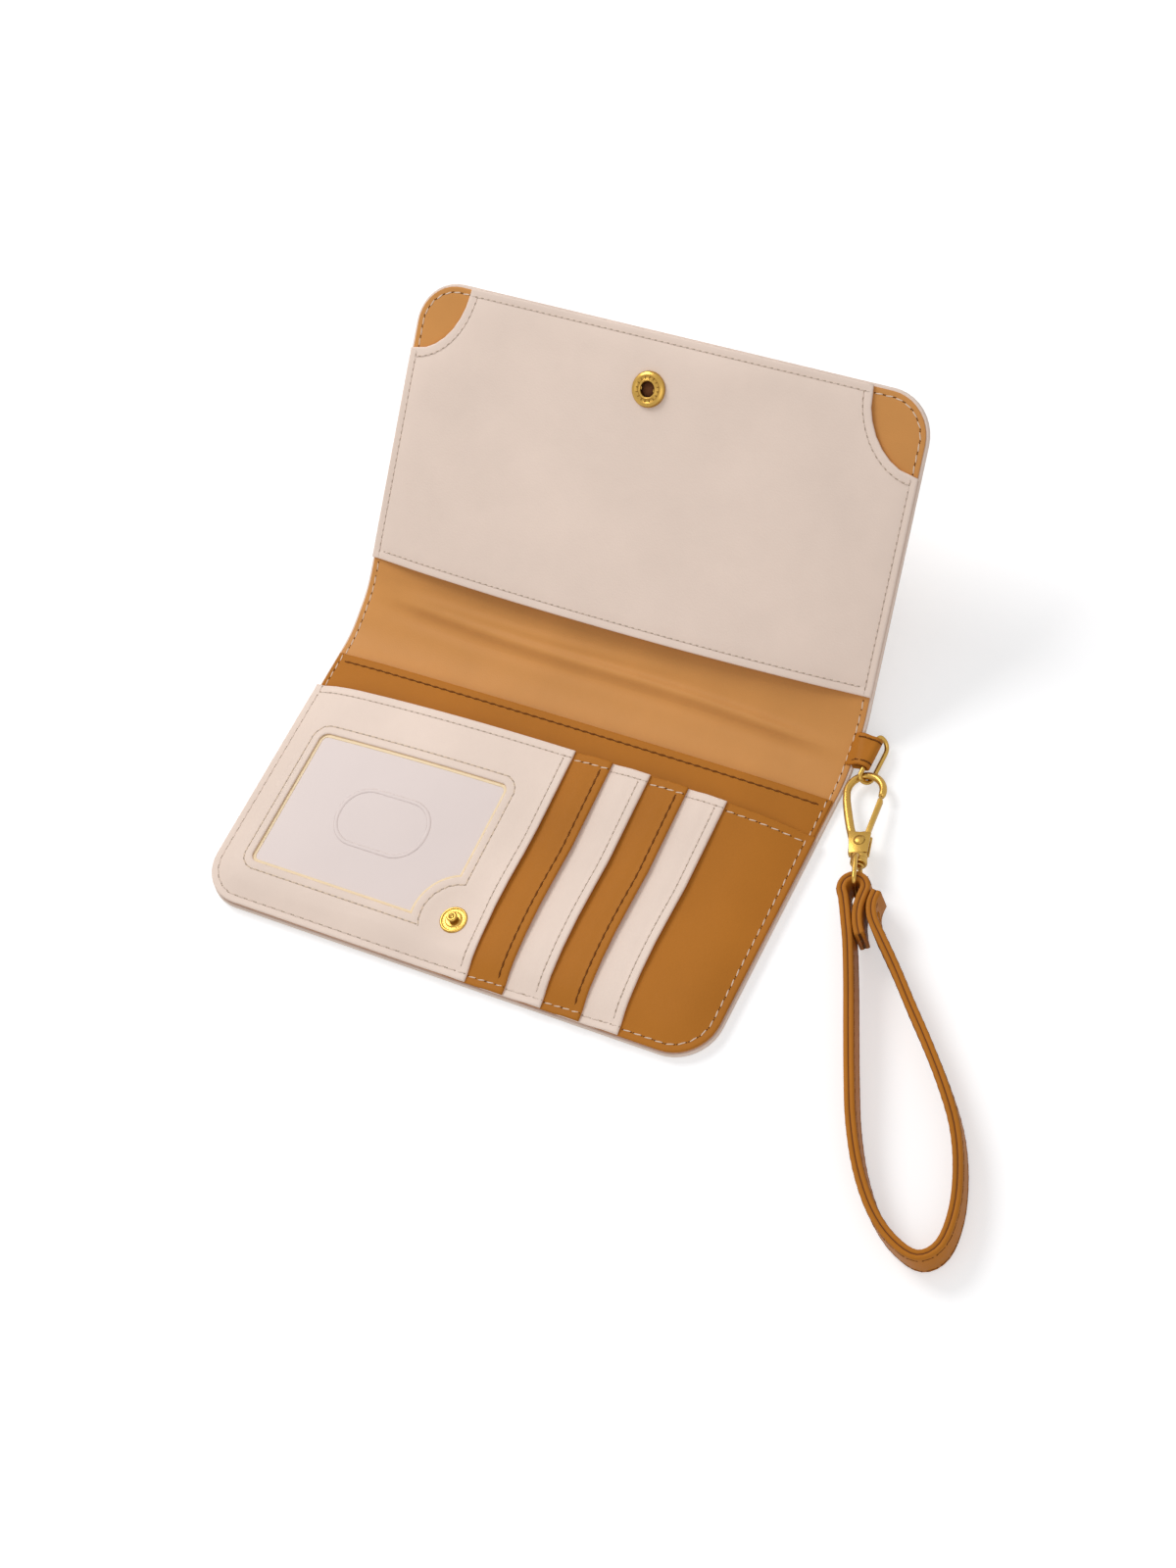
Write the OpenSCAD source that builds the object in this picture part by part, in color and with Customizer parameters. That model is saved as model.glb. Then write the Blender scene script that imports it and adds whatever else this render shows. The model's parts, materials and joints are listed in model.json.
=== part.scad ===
// Long wallet, lying open on its front panel with the flap half raised.
// A padded cover folds along two lines on either side of a narrow back. The front panel carries
// a bill pocket, an identity window and side-loading card slots; the flap carries one wide pocket.
// A ring snap shuts it, and a wrist strap hangs from the back on a ring and a swivel hook.
// Millimetres. Origin: middle of the front panel's underside. +X width, +Y towards the back, +Z up.

/* [Cover] */
// Width of the wallet
wallet_w = 200; // [185:1:215]
// Front panel, from its free edge to the lower fold line
panel_l = 113; // [108:0.5:120]
// Back, between its two fold lines
back_l = 17.5; // [16:0.5:20]
// Flap, from the upper fold line to its free edge
flap_l = 113; // [108:0.5:118]
// Radius of the four free corners
corner_r = 16; // [12:0.5:20]
// Thickness of the padded cover
cover_t = 2; // [1.6:0.1:2.6]
// Thickness of the stiffener boards inside the cover
board_t = 0.8; // [0.5:0.1:1]
// Width of the turned edge round each board
hem_w = 5; // [3:0.5:8]
// Thickness of the lining
lining_t = 0.5; // [0.3:0.1:0.8]
// How far the cover's rim shows round the lining
rim_w = 1; // [0.5:0.1:1.5]

/* [Folds] */
// Angle of each fold as the wallet lies
fold_rest = 19; // [10:1:25]
// Angle of each fold when the wallet is shut
fold_shut = 92.85; // [92.7:0.05:92.95]
// Gap between the cover's parts at a fold line
fold_gap = 0.4; // [0.3:0.1:0.5]

/* [Pockets] */
// Thickness of the pocket leather
leather_t = 0.9; // [0.7:0.1:1.1]
// Room left for notes behind the pockets
note_gap = 0.5; // [0.3:0.1:0.7]
// Width of the sewn edge of a pocket
seam_w = 3.5; // [2.5:0.5:5]
// Depth of the bill pocket from the free edge
bill_h = 104; // [98:0.5:106]
// Depth of the card slots from the free edge
card_h = 89; // [87:0.5:94]
// Thickness of the fabric behind the card slots
fabric_t = 0.2; // [0.15:0.05:0.3]
// Right edge of the identity panel from the middle
id_edge = 10.5; // [6:0.5:14]
// Width of each card strip that shows
slot_pitch = 14.7; // [13.5:0.1:16]
// Width of each card strip that lies under the next
slot_lap = 7; // [5:0.5:9]
// Depth of the flap pocket from the flap's free edge
flap_pocket_h = 101.5; // [90:0.5:104]
// Width of the scoops in the flap pocket's corners
scoop_w = 20.5; // [18:0.5:26]
// Depth of the scoops in the flap pocket's corners
scoop_l = 25.5; // [18:0.5:30]

/* [Window] */
// Width of the identity window
window_w = 77; // [66:0.5:78]
// Height of the identity window
window_h = 53.5; // [44:0.5:54]
// Window's left edge from the panel's left edge
window_in = 14.5; // [12:0.5:17]
// Window's lower edge from the free edge
window_up = 16.5; // [14:0.5:22]
// Radius of the window's corners
window_r = 3; // [1:0.5:5]
// Radius of the cut in the window round the stud
stud_cut_r = 15.5; // [12:0.5:18]
// Thickness of the clear sheet
sheet_t = 0.3; // [0.2:0.05:0.4]

/* [Snap] */
// Snap's place across the wallet
snap_x = -3.5; // [-8:0.5:0]
// Stud's distance from the free edge
snap_in = 19.5; // [17:0.5:22]
// Radius of the stud's flange
stud_r = 5.2; // [4.5:0.1:6]
// Thickness of the stud's flange
stud_t = 0.8; // [0.6:0.1:0.9]
// Radius of the stud's head
head_r = 1.9; // [1.6:0.05:2]
// Height of the stud over the identity panel
stud_h = 3; // [2.8:0.1:3.1]
// Radius of the socket's ring
socket_r = 6.3; // [5.5:0.1:7]
// Height of the socket's ring
socket_h = 1.8; // [1.6:0.1:1.9]
// Radius of the socket's bore
socket_bore_r = 2.65; // [2.5:0.05:2.8]
// Radius of the hollow rivets
rivet_r = 1.2; // [1:0.05:1.3]
// Thickness of the outside cap
cap_t = 1; // [0.8:0.1:1.4]

/* [Tab and ring] */
// Width of the leather tab
tab_w = 11.5; // [10:0.5:12]
// How far the tab stands out from the edge
tab_out = 6.6; // [6.4:0.1:7]
// Thickness of the tab's leather
tab_t = 1.1; // [0.8:0.1:1.2]
// Place of the tab along the back, from its middle
tab_shift = 2; // [0:0.5:2.5]
// Height of the tab's loop over the surface
tab_z = 6.2; // [6:0.1:6.4]
// Length of the ring, along the middle of its wire
ring_l = 17; // [16.8:0.1:18]
// Width of the ring, along the middle of its wire
ring_w = 6; // [5.8:0.1:6.1]
// Diameter of the ring's wire
ring_wire = 1.6; // [1.4:0.1:1.7]
// How steeply the ring hangs
ring_drop = 58; // [54:1:59]

/* [Hook] */
// Diameter of the hook's wire
hook_wire = 2.3; // [2:0.1:2.4]
// Width of the hook's bow, along the middle of its wire
bow_w = 12.2; // [11.5:0.1:13]
// Length of the hook from the bow's top to the swivel
hook_l = 34; // [33:0.5:36]
// Thickness of the hook's body
body_t = 3.4; // [3:0.1:3.6]
// Radius of the hook's rivet
hook_rivet_r = 1; // [0.8:0.05:1.2]
// Direction of the hook from the fold line
hook_turn = 22.5; // [18:0.5:25]

/* [Swivel] */
// Radius of the bail's collar
collar_r = 2.9; // [2.6:0.1:3.2]
// Length of the bail's collar
collar_l = 3.8; // [3:0.1:4.5]
// Radius of the swivel's pin
pin_r = 1.1; // [0.9:0.05:1.3]
// Clearance of the pin in the collar
pin_play = 0.08; // [0.05:0.01:0.1]
// Diameter of the bail's wire
bail_wire = 1.6; // [1.4:0.1:1.7]
// Length of the bail from the hook's body to its bar
bail_l = 15.6; // [15:0.1:17]
// Turn of the bail from upright
bail_turn = 4; // [0:1:5]

/* [Strap] */
// Width of the wrist strap
strap_w = 11.2; // [10.5:0.1:12]
// Thickness of each of the strap's two leathers
strap_t = 1.7; // [1.5:0.05:1.75]
// Radius of the strap's fold round the bail
strap_fold_r = 3.9; // [3.8:0.05:4.1]
// Place of the tack below the bail
tack_y = 9; // [8:0.5:10]

/* [Hidden] */
$fn = 48;

cream = [0.91, 0.84, 0.78];
brown = [0.66, 0.40, 0.14];
tan = [0.80, 0.55, 0.33];
gold = [0.78, 0.60, 0.22];
board_grey = [0.6, 0.58, 0.55];
clear = [0.88, 0.86, 0.86, 0.4];

slip = 0.1;            // room between pieces that fit in one another
past = 1;              // how far a cut runs past a face
front_y = panel_l / 2; // the lower fold line; the free edge is at -front_y
fold_z = cover_t + lining_t;
pocket_z = fold_z;
slot_z = pocket_z + note_gap + leather_t;
strip_z = slot_z + fabric_t;
id_z = strip_z + leather_t;
id_top = id_z + leather_t;
slots = 4;
lap_slope = 2;         // where a strip steps down beside the strip under it

stud_y = -front_y + snap_in;
head_t = 0.9;          // height of the stud's head over its neck
washer_t = 0.4;
washer_r = 3;

// The flap's angle and upper fold line when shut, and the socket's place that meets the stud.
shut = 2 * fold_shut;
shut_y = front_y + back_l * cos(fold_shut);
socket_mid = note_gap + leather_t + socket_h / 2;
socket_v = (stud_y - shut_y + socket_mid * sin(shut)) / cos(shut);
spring_wire = 0.4;
spring_x = 2.4;        // distance of the socket's two spring wires from its middle

tab_play = 0.15;
tab_y = front_y + (back_l / 2) * cos(fold_rest) + tab_shift;
tab_r = ring_wire / 2 + tab_play + tab_t;
bar_x = wallet_w / 2 + tab_out - tab_r;
ring_slip = 1.2;       // how far the hook has drawn the ring forward in the tab
ring_near_r = 1.3;
ring_far_r = 3.4;

// Where the hook's bow passes through the ring, in the middle of its forward end.
bow_r = bow_w / 2;
eye_shift = 0.7;       // how far the bow has slid along the ring's end
ring_end = [bar_x + ring_w / 2 * cos(ring_drop), tab_y - ring_slip - ring_l / 2,
    tab_z - ring_w / 2 * sin(ring_drop)];
eye_y = (tab_y - tab_w / 2 + ring_end[1] + ring_wire / 2) / 2;
hook_at = [ring_end[0] - eye_shift, eye_y, ring_end[2]];
nose_angle = -28;
body_end = -(hook_l - bow_r - hook_wire / 2);
body_l = 9;
body_top = body_end + body_l;
rivet_y = body_end + 5;
arm_foot = [-2.5, body_top - 2, 0];
arm_angle = atan2(arm_foot[1], arm_foot[0]) + 360 - acos(bow_r / norm(arm_foot));
slot_t = 1.9;
gate_t = 1.2;
coil_t = 0.5;
pin_in = 1.6;
collar_gap = 0.3;
strap_play = 1;
bail_half = strap_w / 2 + strap_play + bail_wire / 2;
bail_y = body_end - bail_l;
bail_corner = 1.6;
shoulder_y = body_end - collar_gap - 5.2;

// The hook slopes up so that the bail's shoulder clears the floor.
floor_gap = 0.1;
hook_slope = asin((bail_half + bail_wire / 2 + floor_gap - hook_at[2]) / (bow_r - shoulder_y));
strap_at = hook_at + turned([0, (bail_y - bow_r) * cos(hook_slope),
    -(bail_y - bow_r) * sin(hook_slope)], hook_turn);
strap_reach = 130;
strap_slope = asin((strap_at[2] - strap_w / 2) / strap_reach);

// The strap's middle line seen from above, from the end tucked in the middle to the other end.
fold_points = [for (a = [0:45:180]) strap_fold_r * [cos(a), sin(a)]];
tuck_points = [[2.6, -17.5], [1.8, -14], [1.5, -10], [1.9, -6.5], [3, -3]];
loop_points = [[-3.3, -3], [-2.7, -7], [-2.1, -12], [-1.2, -20], [-0.4, -34], [0.2, -50],
    [0.9, -66], [2, -82], [4.8, -98], [9.6, -112], [16.2, -122], [24, -127.5], [31, -124],
    [35, -113], [36, -99], [34.6, -85], [30.6, -71], [25, -56], [19.6, -43], [14.4, -30],
    [9.6, -19], [7, -13], [6.1, -9], [6.3, -5.5], [7.6, -2]];
strap_path = smooth(concat(tuck_points, fold_points, loop_points), 3);

function turned(p, a) = [p[0] * cos(a) - p[1] * sin(a), p[0] * sin(a) + p[1] * cos(a), p[2]];
function unit(v) = v / norm(v);
function curve(a, b, c, d, t) =
    0.5 * (2 * b + (c - a) * t + (2 * a - 5 * b + 4 * c - d) * t * t
    + (3 * b - a - 3 * c + d) * t * t * t);
function smooth(p, n) = concat([for (i = [0:len(p) - 2], j = [0:n - 1])
    curve(p[max(i - 1, 0)], p[i], p[i + 1], p[min(i + 2, len(p) - 1)], j / n)], [p[len(p) - 1]]);
function side(p, i) = let (d = unit(p[min(i + 1, len(p) - 1)] - p[max(i - 1, 0)])) [-d[1], d[0]];
function beside(p, off) = [for (i = [0:len(p) - 1]) p[i] + off * side(p, i)];
function reversed(p) = [for (i = [len(p) - 1:-1:0]) p[i]];

// A panel's outline, with its free edge at y = 0 and rounded there.
module panel_2d(w, l, r) {
    translate([-w / 2, r]) square([w, l - r]);
    translate([r - w / 2, 0]) square([w - 2 * r, l]);
    for (s = [-1, 1]) translate([s * (w / 2 - r), r]) circle(r);
}

// The same outline drawn in from the wallet's edge; its far end stays at length l.
module inset_2d(in, l) {
    translate([0, in]) panel_2d(wallet_w - 2 * in, l - in, corner_r - in);
}

module at_front() {
    translate([0, -front_y, 0]) children();
}

module at_back() {
    translate([0, front_y, fold_z]) rotate([fold_rest, 0, 0]) translate([0, 0, -fold_z]) children();
}

// Flap pieces are drawn flat, from the upper fold line at y = 0 to the free edge at y = flap_l.
module at_flap() {
    at_back() translate([0, back_l, fold_z]) rotate([fold_rest, 0, 0]) translate([0, 0, -fold_z])
        children();
}

module flap_2d(in, l) {
    translate([0, flap_l]) mirror([0, 1]) inset_2d(in, l);
}

module at_hook() {
    translate(hook_at) rotate([0, 0, hook_turn]) rotate([-hook_slope, 0, 0])
        translate([0, -bow_r, 0]) children();
}

module at_strap() {
    translate(strap_at) rotate([0, 0, hook_turn]) rotate([strap_slope, 0, 0]) children();
}

module rod(a, b, r) {
    d = b - a;
    translate(a) rotate([0, acos(d[2] / norm(d)), atan2(d[1], d[0])]) cylinder(h = norm(d), r = r);
}

module cover_blank(l) {
    difference() {
        linear_extrude(cover_t) inset_2d(0, l - fold_gap / 2);
        translate([0, 0, cover_t - board_t]) linear_extrude(board_t + past)
            inset_2d(hem_w, l - fold_gap / 2 - hem_w);
    }
}

module board_blank(l) {
    translate([0, 0, cover_t - board_t]) linear_extrude(board_t)
        inset_2d(hem_w + slip, l - fold_gap / 2 - hem_w - slip);
}

module cover_front() {
    color(cream) at_front() cover_blank(panel_l);
}

module stiffener_front() {
    color(board_grey) at_front() board_blank(panel_l);
}

module lining_front() {
    color(tan) at_front() translate([0, 0, cover_t]) linear_extrude(lining_t)
        inset_2d(rim_w, panel_l - fold_gap / 2);
}

module bill_pocket() {
    color(brown) at_front() translate([0, 0, pocket_z]) difference() {
        linear_extrude(note_gap + leather_t) inset_2d(rim_w, bill_h);
        translate([0, 0, -past]) linear_extrude(note_gap + past)
            inset_2d(rim_w + seam_w, bill_h + past);
    }
}

module card_backing() {
    color(tan) at_front() translate([0, 0, slot_z]) linear_extrude(fabric_t)
        inset_2d(rim_w, card_h - seam_w);
}

// A card strip: its right part lies on the strip beside it, its left part goes under the next.
module card_strip(right) {
    step = right - slot_lap - lap_slope;
    left = right - slot_pitch - slot_lap;
    translate([0, -front_y + card_h, 0]) rotate([90, 0, 0]) linear_extrude(card_h - rim_w)
        polygon([[right, id_z], [right, id_top], [right - slot_lap, id_top], [step, id_z],
            [left, id_z], [left, strip_z], [step, strip_z], [right - slot_lap, id_z]]);
}

module card_slot_1() {
    color(brown) card_strip(id_edge + slot_pitch);
}

module card_slot_2() {
    color(cream) card_strip(id_edge + 2 * slot_pitch);
}

module card_slot_3() {
    color(brown) card_strip(id_edge + 3 * slot_pitch);
}

module card_slot_4() {
    color(cream) card_strip(id_edge + slots * slot_pitch);
}

module card_base() {
    color(brown) at_front() translate([0, 0, strip_z]) linear_extrude(leather_t) intersection() {
        inset_2d(rim_w, card_h);
        translate([id_edge + slots * slot_pitch - slot_lap, 0]) square([wallet_w, card_h]);
    }
}

// The identity window's outline grown by a margin, cut round the stud.
module window_2d(margin) {
    r = window_r + margin;
    difference() {
        translate([window_in - wallet_w / 2 + window_r, window_up + window_r]) union() {
            translate([-r, 0]) square([window_w - 2 * window_r + 2 * r, window_h - 2 * window_r]);
            translate([0, -r]) square([window_w - 2 * window_r, window_h - 2 * window_r + 2 * r]);
            for (x = [0, window_w - 2 * window_r], y = [0, window_h - 2 * window_r])
                translate([x, y]) circle(r);
        }
        translate([snap_x, snap_in]) circle(stud_cut_r - margin);
    }
}

module id_area_2d(in, right) {
    intersection() {
        inset_2d(rim_w + in, card_h - in);
        translate([-wallet_w, 0]) square([wallet_w + right, wallet_w]);
    }
}

module id_backing() {
    right = id_edge - slot_lap - slip;
    color(cream) at_front() translate([0, 0, strip_z]) difference() {
        linear_extrude(leather_t) id_area_2d(0, right);
        translate([0, 0, sheet_t]) linear_extrude(leather_t) id_area_2d(seam_w, right + past);
    }
}

module id_window() {
    color(clear) at_front() translate([0, 0, id_z - sheet_t]) linear_extrude(sheet_t)
        window_2d(3.5);
}

module id_panel() {
    color(cream) at_front() translate([0, 0, id_z]) difference() {
        linear_extrude(leather_t) difference() {
            id_area_2d(0, id_edge);
            window_2d(0);
        }
        translate([snap_x, snap_in, -past]) cylinder(h = leather_t + 2 * past, r = rivet_r + slip);
    }
}

module snap_stud() {
    color(gold) translate([snap_x, stud_y, id_top]) difference() {
        cylinder(h = stud_t, r = stud_r);
        translate([0, 0, -past]) cylinder(h = stud_t + 2 * past, r = rivet_r + slip / 2);
        translate([0, 0, stud_t - 0.25]) difference() {
            cylinder(h = past, r = stud_r - 0.7);
            translate([0, 0, -past]) cylinder(h = 3 * past, r = head_r + 0.8);
        }
    }
}

// The stud's post, riveted through its flange and the leather from a washer inside.
module stud_rivet() {
    post_z = id_top + stud_t;
    color(gold) translate([snap_x, stud_y, 0]) difference() {
        union() {
            translate([0, 0, id_z - washer_t - slip / 2]) {
                cylinder(h = washer_t, r = washer_r);
                cylinder(h = post_z + washer_t + slip / 2 - id_z, r = rivet_r);
            }
            translate([0, 0, post_z]) cylinder(h = stud_h - stud_t - head_t, r = head_r - 0.3);
            translate([0, 0, id_top + stud_h - head_t]) cylinder(h = head_t, r = head_r);
        }
        translate([0, 0, id_top + stud_h - 0.5]) cylinder(h = past, r = head_r - 0.9);
    }
}

module cover_back() {
    color(cream) at_back() translate([-wallet_w / 2, fold_gap / 2, 0])
        cube([wallet_w, back_l - fold_gap, cover_t]);
}

module lining_back() {
    color(tan) at_back() translate([rim_w - wallet_w / 2, fold_gap / 2, cover_t])
        cube([wallet_w - 2 * rim_w, back_l - fold_gap, lining_t]);
}

module strap_tab() {
    root_t = 1.15;
    edge_x = wallet_w / 2;
    color(brown) translate([0, tab_y + tab_w / 2, 0]) rotate([90, 0, 0]) linear_extrude(tab_w)
        difference() {
            union() {
                translate([bar_x, tab_z]) circle(tab_r);
                polygon([[edge_x, tab_z - root_t], [bar_x, tab_z - tab_r],
                    [bar_x, tab_z + tab_r], [edge_x, tab_z + root_t]]);
            }
            translate([bar_x, tab_z]) circle(ring_wire / 2 + tab_play);
        }
}

module rivet_hole() {
    translate([snap_x, socket_v, -past]) cylinder(h = 3 * fold_z, r = rivet_r + slip);
}

module cover_flap() {
    color(cream) at_flap() difference() {
        translate([0, flap_l]) mirror([0, 1]) cover_blank(flap_l);
        rivet_hole();
    }
}

module stiffener_flap() {
    color(board_grey) at_flap() difference() {
        translate([0, flap_l]) mirror([0, 1]) board_blank(flap_l);
        rivet_hole();
    }
}

module lining_flap() {
    color(tan) at_flap() difference() {
        translate([0, 0, cover_t]) linear_extrude(lining_t) flap_2d(rim_w, flap_l - fold_gap / 2);
        rivet_hole();
    }
}

// One scoop's outline, a quarter of an oval round a corner of the flap pocket.
module scoop_2d() {
    for (s = [-1, 1]) translate([s * wallet_w / 2, 0])
        polygon([for (a = [0:7.5:352.5]) [scoop_w * cos(a), scoop_l * sin(a)]]);
}

module flap_pocket() {
    color(cream) at_flap() difference() {
        translate([0, flap_l, pocket_z]) mirror([0, 1]) difference() {
            linear_extrude(note_gap + leather_t) inset_2d(rim_w, flap_pocket_h);
            translate([0, 0, -past]) linear_extrude(note_gap + past)
                inset_2d(rim_w + seam_w, flap_pocket_h + past);
            translate([0, 0, -past]) linear_extrude(note_gap + leather_t + 2 * past) scoop_2d();
        }
        rivet_hole();
    }
}

module at_socket() {
    at_flap() translate([snap_x, socket_v, pocket_z + note_gap + leather_t]) children();
}

module snap_socket() {
    rim = socket_h - 0.5;
    color(gold) at_socket() difference() {
        union() {
            cylinder(h = rim, r = socket_r);
            cylinder(h = socket_h, r = socket_r - 0.6);
        }
        translate([0, 0, -past]) cylinder(h = socket_h + 2 * past, r = socket_bore_r);
        translate([0, 0, socket_h - 0.4]) difference() {
            cylinder(h = past, r = socket_bore_r + 2.1);
            translate([0, 0, -past]) cylinder(h = 3 * past, r = socket_bore_r + 0.6);
        }
    }
}

module socket_spring() {
    half = sqrt(socket_bore_r ^ 2 - (spring_x + spring_wire / 2) ^ 2) - 0.05;
    color(gold) at_socket() translate([0, 0, socket_h - 0.6]) for (s = [-1, 1])
        rod([s * spring_x, -half, 0], [s * spring_x, half, 0], spring_wire / 2);
}

module snap_cap() {
    top = pocket_z + note_gap + leather_t - 0.1;
    color(gold) at_flap() translate([snap_x, socket_v, 0]) {
        translate([0, 0, -cap_t]) cylinder(h = cap_t, r = socket_r - 0.2);
        translate([0, 0, -cap_t]) cylinder(h = cap_t + top, r = rivet_r);
    }
}

// The ring: a straight bar in the tab, two close corners, and two wide ones on its free side.
module tab_ring() {
    r = ring_wire / 2;
    near = ring_l / 2 - ring_near_r;
    far = ring_l / 2 - ring_far_r;
    color(gold) translate([bar_x, tab_y - ring_slip, tab_z]) rotate([0, ring_drop, 0]) {
        rod([0, -near, 0], [0, near, 0], r);
        rod([ring_w, -far, 0], [ring_w, far, 0], r);
        for (s = [-1, 1]) {
            rod([ring_near_r, s * ring_l / 2, 0], [ring_w - ring_far_r, s * ring_l / 2, 0], r);
            translate([ring_near_r, s * near, 0]) rotate([0, 0, s > 0 ? 90 : 180])
                rotate_extrude(angle = 90) translate([ring_near_r, 0]) circle(r);
            translate([ring_w - ring_far_r, s * far, 0]) rotate([0, 0, s > 0 ? 0 : 270])
                rotate_extrude(angle = 90) translate([ring_far_r, 0]) circle(r);
        }
    }
}

module hook_body() {
    r = hook_wire / 2;
    color(gold) at_hook() difference() {
        union() {
            rotate([0, 0, nose_angle]) rotate_extrude(angle = arm_angle - nose_angle)
                translate([bow_r, 0]) circle(r);
            for (a = [nose_angle, arm_angle])
                rotate([0, 0, a]) translate([bow_r, 0, 0]) sphere(r + 0.05);
            rod(bow_r * [cos(arm_angle), sin(arm_angle), 0], arm_foot, r);
            translate([0, 0, -body_t / 2]) linear_extrude(body_t)
                polygon([[-3.2, body_end], [3, body_end], [3.1, body_top], [-3.6, body_top]]);
        }
        translate([-1.9, rivet_y - 2, -slot_t / 2]) cube([bow_w, body_l, slot_t]);
        translate([0, rivet_y, -body_t]) cylinder(h = 2 * body_t, r = hook_rivet_r + 0.02);
        translate([0, body_end - past, 0]) rotate([-90, 0, 0])
            cylinder(h = past + pin_in + 0.1, r = pin_r + 0.02);
    }
}

module hook_rivet() {
    head = 0.5;
    color(gold) at_hook() translate([0, rivet_y, 0]) {
        cylinder(h = body_t + 2 * head - 0.2, r = hook_rivet_r, center = true);
        for (s = [-1, 1]) translate([0, 0, s * (body_t + head) / 2])
            cylinder(h = head, r = hook_rivet_r + 0.75, center = true);
    }
}

// The gate turns on the hook's rivet, and its tip shuts against the inner side of the nose.
module hook_gate() {
    nose = bow_r * [cos(nose_angle), sin(nose_angle)];
    tip_x = nose[0] - hook_wire / 2 - slip;
    tip_y = nose[1] + 0.5;
    color(gold) at_hook() translate([0, 0, -slot_t / 2 + slip]) difference() {
        linear_extrude(gate_t) union() {
            translate([0, rivet_y]) circle(1.8);
            polygon([[1.2, rivet_y - 0.8], [2.9, body_top - 0.8], [tip_x, tip_y],
                [tip_x - 1.1, tip_y], [1.6, body_top - 0.6], [-1, rivet_y + 1.4]]);
        }
        translate([0, rivet_y, -past]) cylinder(h = gate_t + 2 * past, r = hook_rivet_r + 0.08);
    }
}

module gate_spring() {
    wire = coil_t - slip;
    color(gold) at_hook() translate([0, rivet_y, slot_t / 2 - coil_t / 2])
        rotate_extrude() translate([hook_rivet_r + 0.1 + wire / 2, 0]) circle(wire / 2);
}

module swivel_pin() {
    head_y = body_end - collar_gap - collar_l - 0.2;
    color(gold) at_hook() {
        rod([0, body_end + pin_in, 0], [0, head_y - 0.4, 0], pin_r);
        rod([0, head_y, 0], [0, head_y - 0.8, 0], pin_r + 0.9);
    }
}

module swivel_bail() {
    r = bail_wire / 2;
    top = body_end - collar_gap;
    color(gold) at_hook() rotate([0, bail_turn, 0]) {
        difference() {
            union() {
                rod([0, top, 0], [0, top - collar_l, 0], collar_r);
                for (s = [-1, 1]) rod([0, top - 2, s * 1.8], [0, shoulder_y, s * bail_half], r);
            }
            rod([0, top + past, 0], [0, top - collar_l - past, 0], pin_r + pin_play);
            rod([0, top - collar_l, 0], [0, top - collar_l - 2, 0], pin_r + 1.3);
        }
        for (s = [-1, 1]) {
            translate([0, shoulder_y, s * bail_half]) sphere(r + 0.05);
            rod([0, shoulder_y, s * bail_half], [0, bail_y + bail_corner, s * bail_half], r);
            translate([0, bail_y + bail_corner, s * (bail_half - bail_corner)])
                rotate([0, 90, 0]) rotate([0, 0, s > 0 ? 180 : 270])
                    rotate_extrude(angle = 90) translate([bail_corner, 0]) circle(r);
        }
        rod([0, bail_y, bail_corner - bail_half], [0, bail_y, bail_half - bail_corner], r);
    }
}

module strap_band(from, to) {
    at_strap() difference() {
        translate([0, 0, -strap_w / 2]) linear_extrude(strap_w)
            polygon(concat(beside(strap_path, from), reversed(beside(strap_path, to))));
        tack_bore();
    }
}

module tack_bore() {
    rod([-4, -tack_y, 0], [12, -tack_y, 0], 0.65);
}

module strap_inner() {
    color(brown) strap_band(0, strap_t);
}

module strap_outer() {
    color(brown) strap_band(-strap_t, 0);
}

module strap_tack() {
    face_x = 6.2 + strap_t + 0.3;
    color(brown) at_strap() {
        rod([-3.5, -tack_y, 0], [face_x + 0.5, -tack_y, 0], 0.6);
        rod([face_x, -tack_y, 0], [face_x + 0.9, -tack_y, 0], 1.8);
    }
}

cover_front();
stiffener_front();
lining_front();
bill_pocket();
card_backing();
id_backing();
id_window();
id_panel();
card_slot_1();
card_slot_2();
card_slot_3();
card_slot_4();
card_base();
snap_stud();
stud_rivet();
cover_back();
lining_back();
strap_tab();
cover_flap();
stiffener_flap();
lining_flap();
flap_pocket();
snap_socket();
socket_spring();
snap_cap();
tab_ring();
hook_body();
hook_rivet();
gate_spring();
swivel_pin();
hook_gate();
swivel_bail();
strap_outer();
strap_inner();
strap_tack();
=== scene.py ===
# %% [markdown]
# # A long wallet with a wrist strap
# The wallet lies open on its front panel, with the flap half raised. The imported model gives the
# place and the size of every part, and this script gives them their leather, thread and metal.
# Everything is in metres, but leather is easier to think of in millimetres, so shapes are drawn
# in millimetres and brought to metres at the very end of each piece.

# %% Load the frame
import bmesh
import bpy
import json
import math
import numpy as np
from mathutils import Matrix, Vector
from mathutils.bvhtree import BVHTree


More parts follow.
